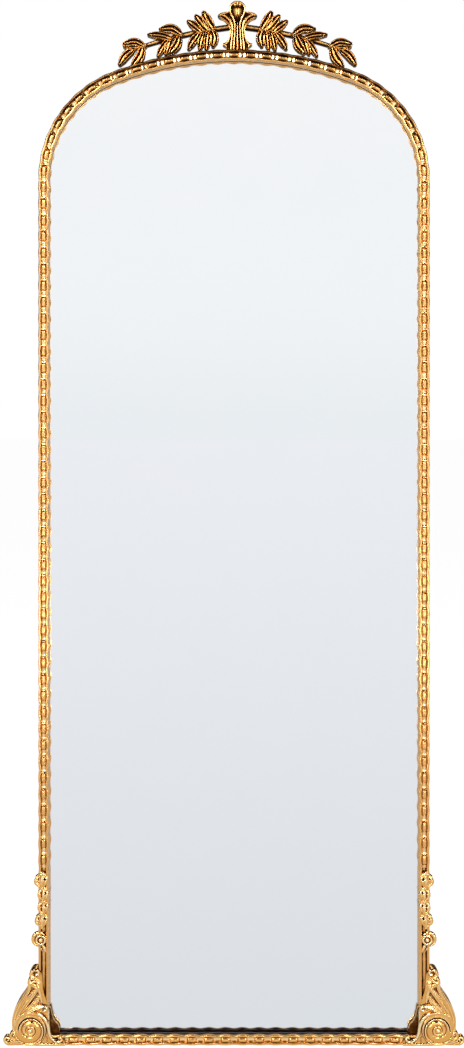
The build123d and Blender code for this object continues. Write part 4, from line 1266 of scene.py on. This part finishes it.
class MIRROR_OT_glazing(MirrorOperator, bpy.types.Operator):
    """Finishes the glass, its silver, the tape, the packing and the setting blocks"""
    bl_idname = "mirror.glazing"
    bl_label = "Glazing"

    def execute(self, context):
        finish_node("mirror_glass", float_glass())
        silver_piece(silvering())
        stuffs = (
            ("glazing_tape", "foam_tape", ("Black foam tape", "15140F", "26241F", 0.6, 0.85)),
            ("packing_sheet", "packing_board", ("Grey packing board", "6C675E", "8B857A", 0.9, 0.9)),
            ("setting_blocks", "hard_rubber", ("Black rubber blocks", "0E0E0D", "1D1C1A", 1.2, 0.6)),
        )
        for node, slot, look in stuffs:
            finish_node(node, matt_material(*look))
        return {"FINISHED"}


class MIRROR_OT_back(MirrorOperator, bpy.types.Operator):
    """Finishes the back panel and builds its screws, bumpers and pads"""
    bl_idname = "mirror.back"
    bl_label = "Back and Hangers"

    def execute(self, context):
        finish = settings()[2]
        steel = plated_steel()
        finish_node("back_panel", fibreboard())
        for side_name, _ in SIDES:
            finish_node(f"{side_name}_hanger_strap", steel)
            finish_node(f"{side_name}_hanger_ring",
                        plated_steel(f"Drawn steel wire, {side_name}", "D2D3CE", (0.15, 1.0, 1.0)))
        for name, node in (("domed_panel_screws", "back_panel_screws"),
                           ("domed_hanger_screws", "hanger_screws")):
            turned_group(name, node, SCREW_HEAD, True, steel)
        rubber = matt_material("Moulded grey rubber", "1B1A19", "2B2927", 2.2, 0.62)
        turned_group("moulded_wall_bumpers", "wall_bumpers", BUMPER, False, rubber)
        finish_node("foot_pads", matt_material("Pressed wool felt", "3B2E23", finish.felt, 0.5, 0.95,
                                               bump_mm=0.3, sheen=0.5))
        wood = matt_material("Turned beech", "A9794C", "D2A879", 0.9, 0.6, (0.12, 1.0, 1.0))
        for node in ("joint_dowels", "corner_keys"):
            finish_node(node, wood)
        return {"FINISHED"}


def emission(tree, shade, strength=1.0):
    """Light of one colour."""
    return add_node(tree, "ShaderNodeEmission", {"Color": shade, "Strength": strength}).outputs[0]


def stage_floor(studio):
    """White floor that keeps the mirror's shadow, with a painted reflection gradient that only the glass
    shows.
    """
    size = 60.0
    mesh = bpy.data.meshes.new("studio_floor")
    corners = [(-size, -size, 0), (size, -size, 0), (size, size, 0), (-size, size, 0)]
    mesh.from_pydata(corners, [], [(0, 1, 2, 3)])
    floor = new_object("studio_floor", mesh)
    material = bpy.data.materials.new("White studio floor")
    tree = empty_tree(material)
    ray = add_node(tree, "ShaderNodeLightPath").outputs
    # Painted reflection: the floor's glow seen in the glass runs from the near colour by the mirror to
    # the far colour far off, so the glass grows paler from its foot up
    place = add_node(tree, "ShaderNodeTexCoord").outputs["Object"]
    away = add_node(tree, "ShaderNodeSeparateXYZ", {0: place}).outputs[1]
    distance = calculated(tree, "MULTIPLY", away, -1.0)
    beyond = calculated(tree, "ADD", distance, studio.camera_distance)
    share = calculated(tree, "DIVIDE", distance, beyond, use_clamp=True)
    graded = mixed(tree, share, linear(studio.near_glass), linear(studio.far_glass))
    paint = add_node(tree, "ShaderNodeBsdfDiffuse", {"Color": linear("8C8C8C")}).outputs[0]
    glow = emission(tree, linear("FFFFFF"), 0.86)
    lit = add_node(tree, "ShaderNodeAddShader", {0: paint, 1: glow}).outputs[0]
    seen_by = (
        ("Is Camera Ray", lit),
        ("Is Glossy Ray", emission(tree, linear("F4EEE6"))),
        ("Is Transmission Ray", emission(tree, graded)),
    )
    result = paint
    for kind, seen in seen_by:
        result = add_node(tree, "ShaderNodeMixShader", {0: ray[kind], 1: result, 2: seen}).outputs[0]
    add_node(tree, "ShaderNodeOutputMaterial", {"Surface": result})
    mesh.materials.append(material)


def stage_world(studio):
    """Pale studio all round: white to the camera, banded for the gold, graded for the glass."""
    world = bpy.data.worlds.new("Pale studio")
    bpy.context.scene.world = world
    tree = empty_tree(world)
    ray = add_node(tree, "ShaderNodeLightPath").outputs
    direction = add_node(tree, "ShaderNodeTexCoord").outputs["Generated"]
    _, depth, slope = add_node(tree, "ShaderNodeSeparateXYZ", {0: direction}).outputs
    in_glass = mixed(tree, ranged(tree, slope, 0.0, 0.25, kind="LINEAR"), linear(studio.level_glass),
                     linear(studio.high_glass))
    ahead = ranged(tree, depth, -0.80, -0.96)
    overhead = ranged(tree, slope, 0.05, 0.27)
    level_light = mixed(tree, ahead, linear(studio.side_cards), [studio.front_card] * 3 + [1.0])
    in_gold = mixed(tree, overhead, level_light, linear(studio.dark_ceiling))
    seen_by = (
        ("Is Glossy Ray", in_gold),
        ("Is Transmission Ray", in_glass),
        ("Is Camera Ray", linear("FFFFFF")),
    )
    result = linear("B4B4B4")
    for kind, seen in seen_by:
        result = mixed(tree, ray[kind], result, seen)
    background = add_node(tree, "ShaderNodeBackground", {"Color": result, "Strength": 1.0})
    add_node(tree, "ShaderNodeOutputWorld", {"Surface": background.outputs[0]})


# Studio lamps: name, place, aim, width and height, and power in watts
SOFTBOXES = (
    ("key_softbox", (-1.6, -3.0, 3.0), (0, 0, 1.0), (1.3, 0.9), 85),
    ("fill_softbox", (1.7, -3.0, 2.9), (0, 0, 0.9), (1.3, 0.9), 70),
    ("left_strip", (-2.4, -1.6, 1.2), (0, 0, 0.9), (0.35, 2.0), 12),
    ("right_strip", (2.4, -1.6, 1.2), (0, 0, 0.9), (0.35, 2.0), 12),
    ("low_left_softbox", (-1.1, -2.4, 0.35), (0, 0, 0.1), (0.45, 0.3), 9),
    ("low_right_softbox", (1.1, -2.4, 0.35), (0, 0, 0.1), (0.45, 0.3), 9),
    ("back_softbox", (0, 2.6, 2.6), (0, 0, 0.9), (2.0, 1.0), 30),
)


def softbox(name, place, aim, sizes, power):
    """Rectangular white lamp that the camera and the mirror glass don't show."""
    lamp = bpy.data.lights.new(name, "AREA")
    lamp.shape = "RECTANGLE"
    lamp.size, lamp.size_y = sizes
    lamp.energy = power
    holder = new_object(name, lamp)
    holder.location = place
    toward = Vector(aim) - Vector(place)
    holder.rotation_euler = toward.to_track_quat("-Z", "Y").to_euler()
    holder.visible_camera = False
    holder.visible_transmission = False


class MIRROR_OT_stage(MirrorOperator, bpy.types.Operator):
    """Sets up the floor, the studio light and the camera at the photograph's angle"""
    bl_idname = "mirror.stage"
    bl_label = "Studio"

    def execute(self, context):
        studio = settings()[3]
        stage_floor(studio)
        stage_world(studio)
        for lamp in SOFTBOXES:
            softbox(*lamp)
        lens = bpy.data.cameras.new("camera")
        lens.lens = studio.lens
        lens.sensor_width = 36.0
        lens.shift_x = studio.shift_x
        lens.shift_y = studio.shift_y
        camera = new_object("camera", lens)
        camera.location = (0, lip_y * MM - studio.camera_distance, studio.camera_height)
        camera.rotation_euler = (math.pi / 2, 0, 0)
        context.scene.camera = camera
        context.scene.view_settings.view_transform = "Standard"
        return {"FINISHED"}


OPERATORS = (
    MIRROR_OT_mouldings,
    MIRROR_OT_beading,
    MIRROR_OT_crest,
    MIRROR_OT_feet,
    MIRROR_OT_glazing,
    MIRROR_OT_back,
    MIRROR_OT_stage,
)


class MIRROR_PT_panel(bpy.types.Panel):
    """Lists the settings and the operators of the mirror"""
    bl_idname = "MIRROR_PT_panel"
    bl_label = "Overmantel Mirror"
    bl_space_type = "VIEW_3D"
    bl_region_type = "UI"
    bl_category = "Mirror"

    def draw(self, context):
        for group in settings():
            box = self.layout.box()
            for name in group.bl_rna.properties.keys():
                if name not in ("rna_type", "name"):
                    box.prop(group, name)
        for operator in OPERATORS:
            self.layout.operator(operator.bl_idname)


GROUPS = (
    ("gilt_moulding", GiltMouldingSettings),
    ("castings", CastingSettings),
    ("finishes", FinishSettings),
    ("studio", StudioSettings),
)


def register():
    for name, group in GROUPS:
        bpy.utils.register_class(group)
        setattr(bpy.types.Scene, name, PointerProperty(type=group))
    for operator in OPERATORS:
        bpy.utils.register_class(operator)
    bpy.utils.register_class(MIRROR_PT_panel)


def unregister():
    bpy.utils.unregister_class(MIRROR_PT_panel)
    for operator in reversed(OPERATORS):
        bpy.utils.unregister_class(operator)
    for name, group in reversed(GROUPS):
        delattr(bpy.types.Scene, name)
        bpy.utils.unregister_class(group)


def main():
    register()
    bpy.ops.mirror.mouldings()
    bpy.ops.mirror.beading()
    bpy.ops.mirror.crest()
    bpy.ops.mirror.feet()
    bpy.ops.mirror.glazing()
    bpy.ops.mirror.back()
    bpy.ops.mirror.stage()


if __name__ == "__main__":
    main()
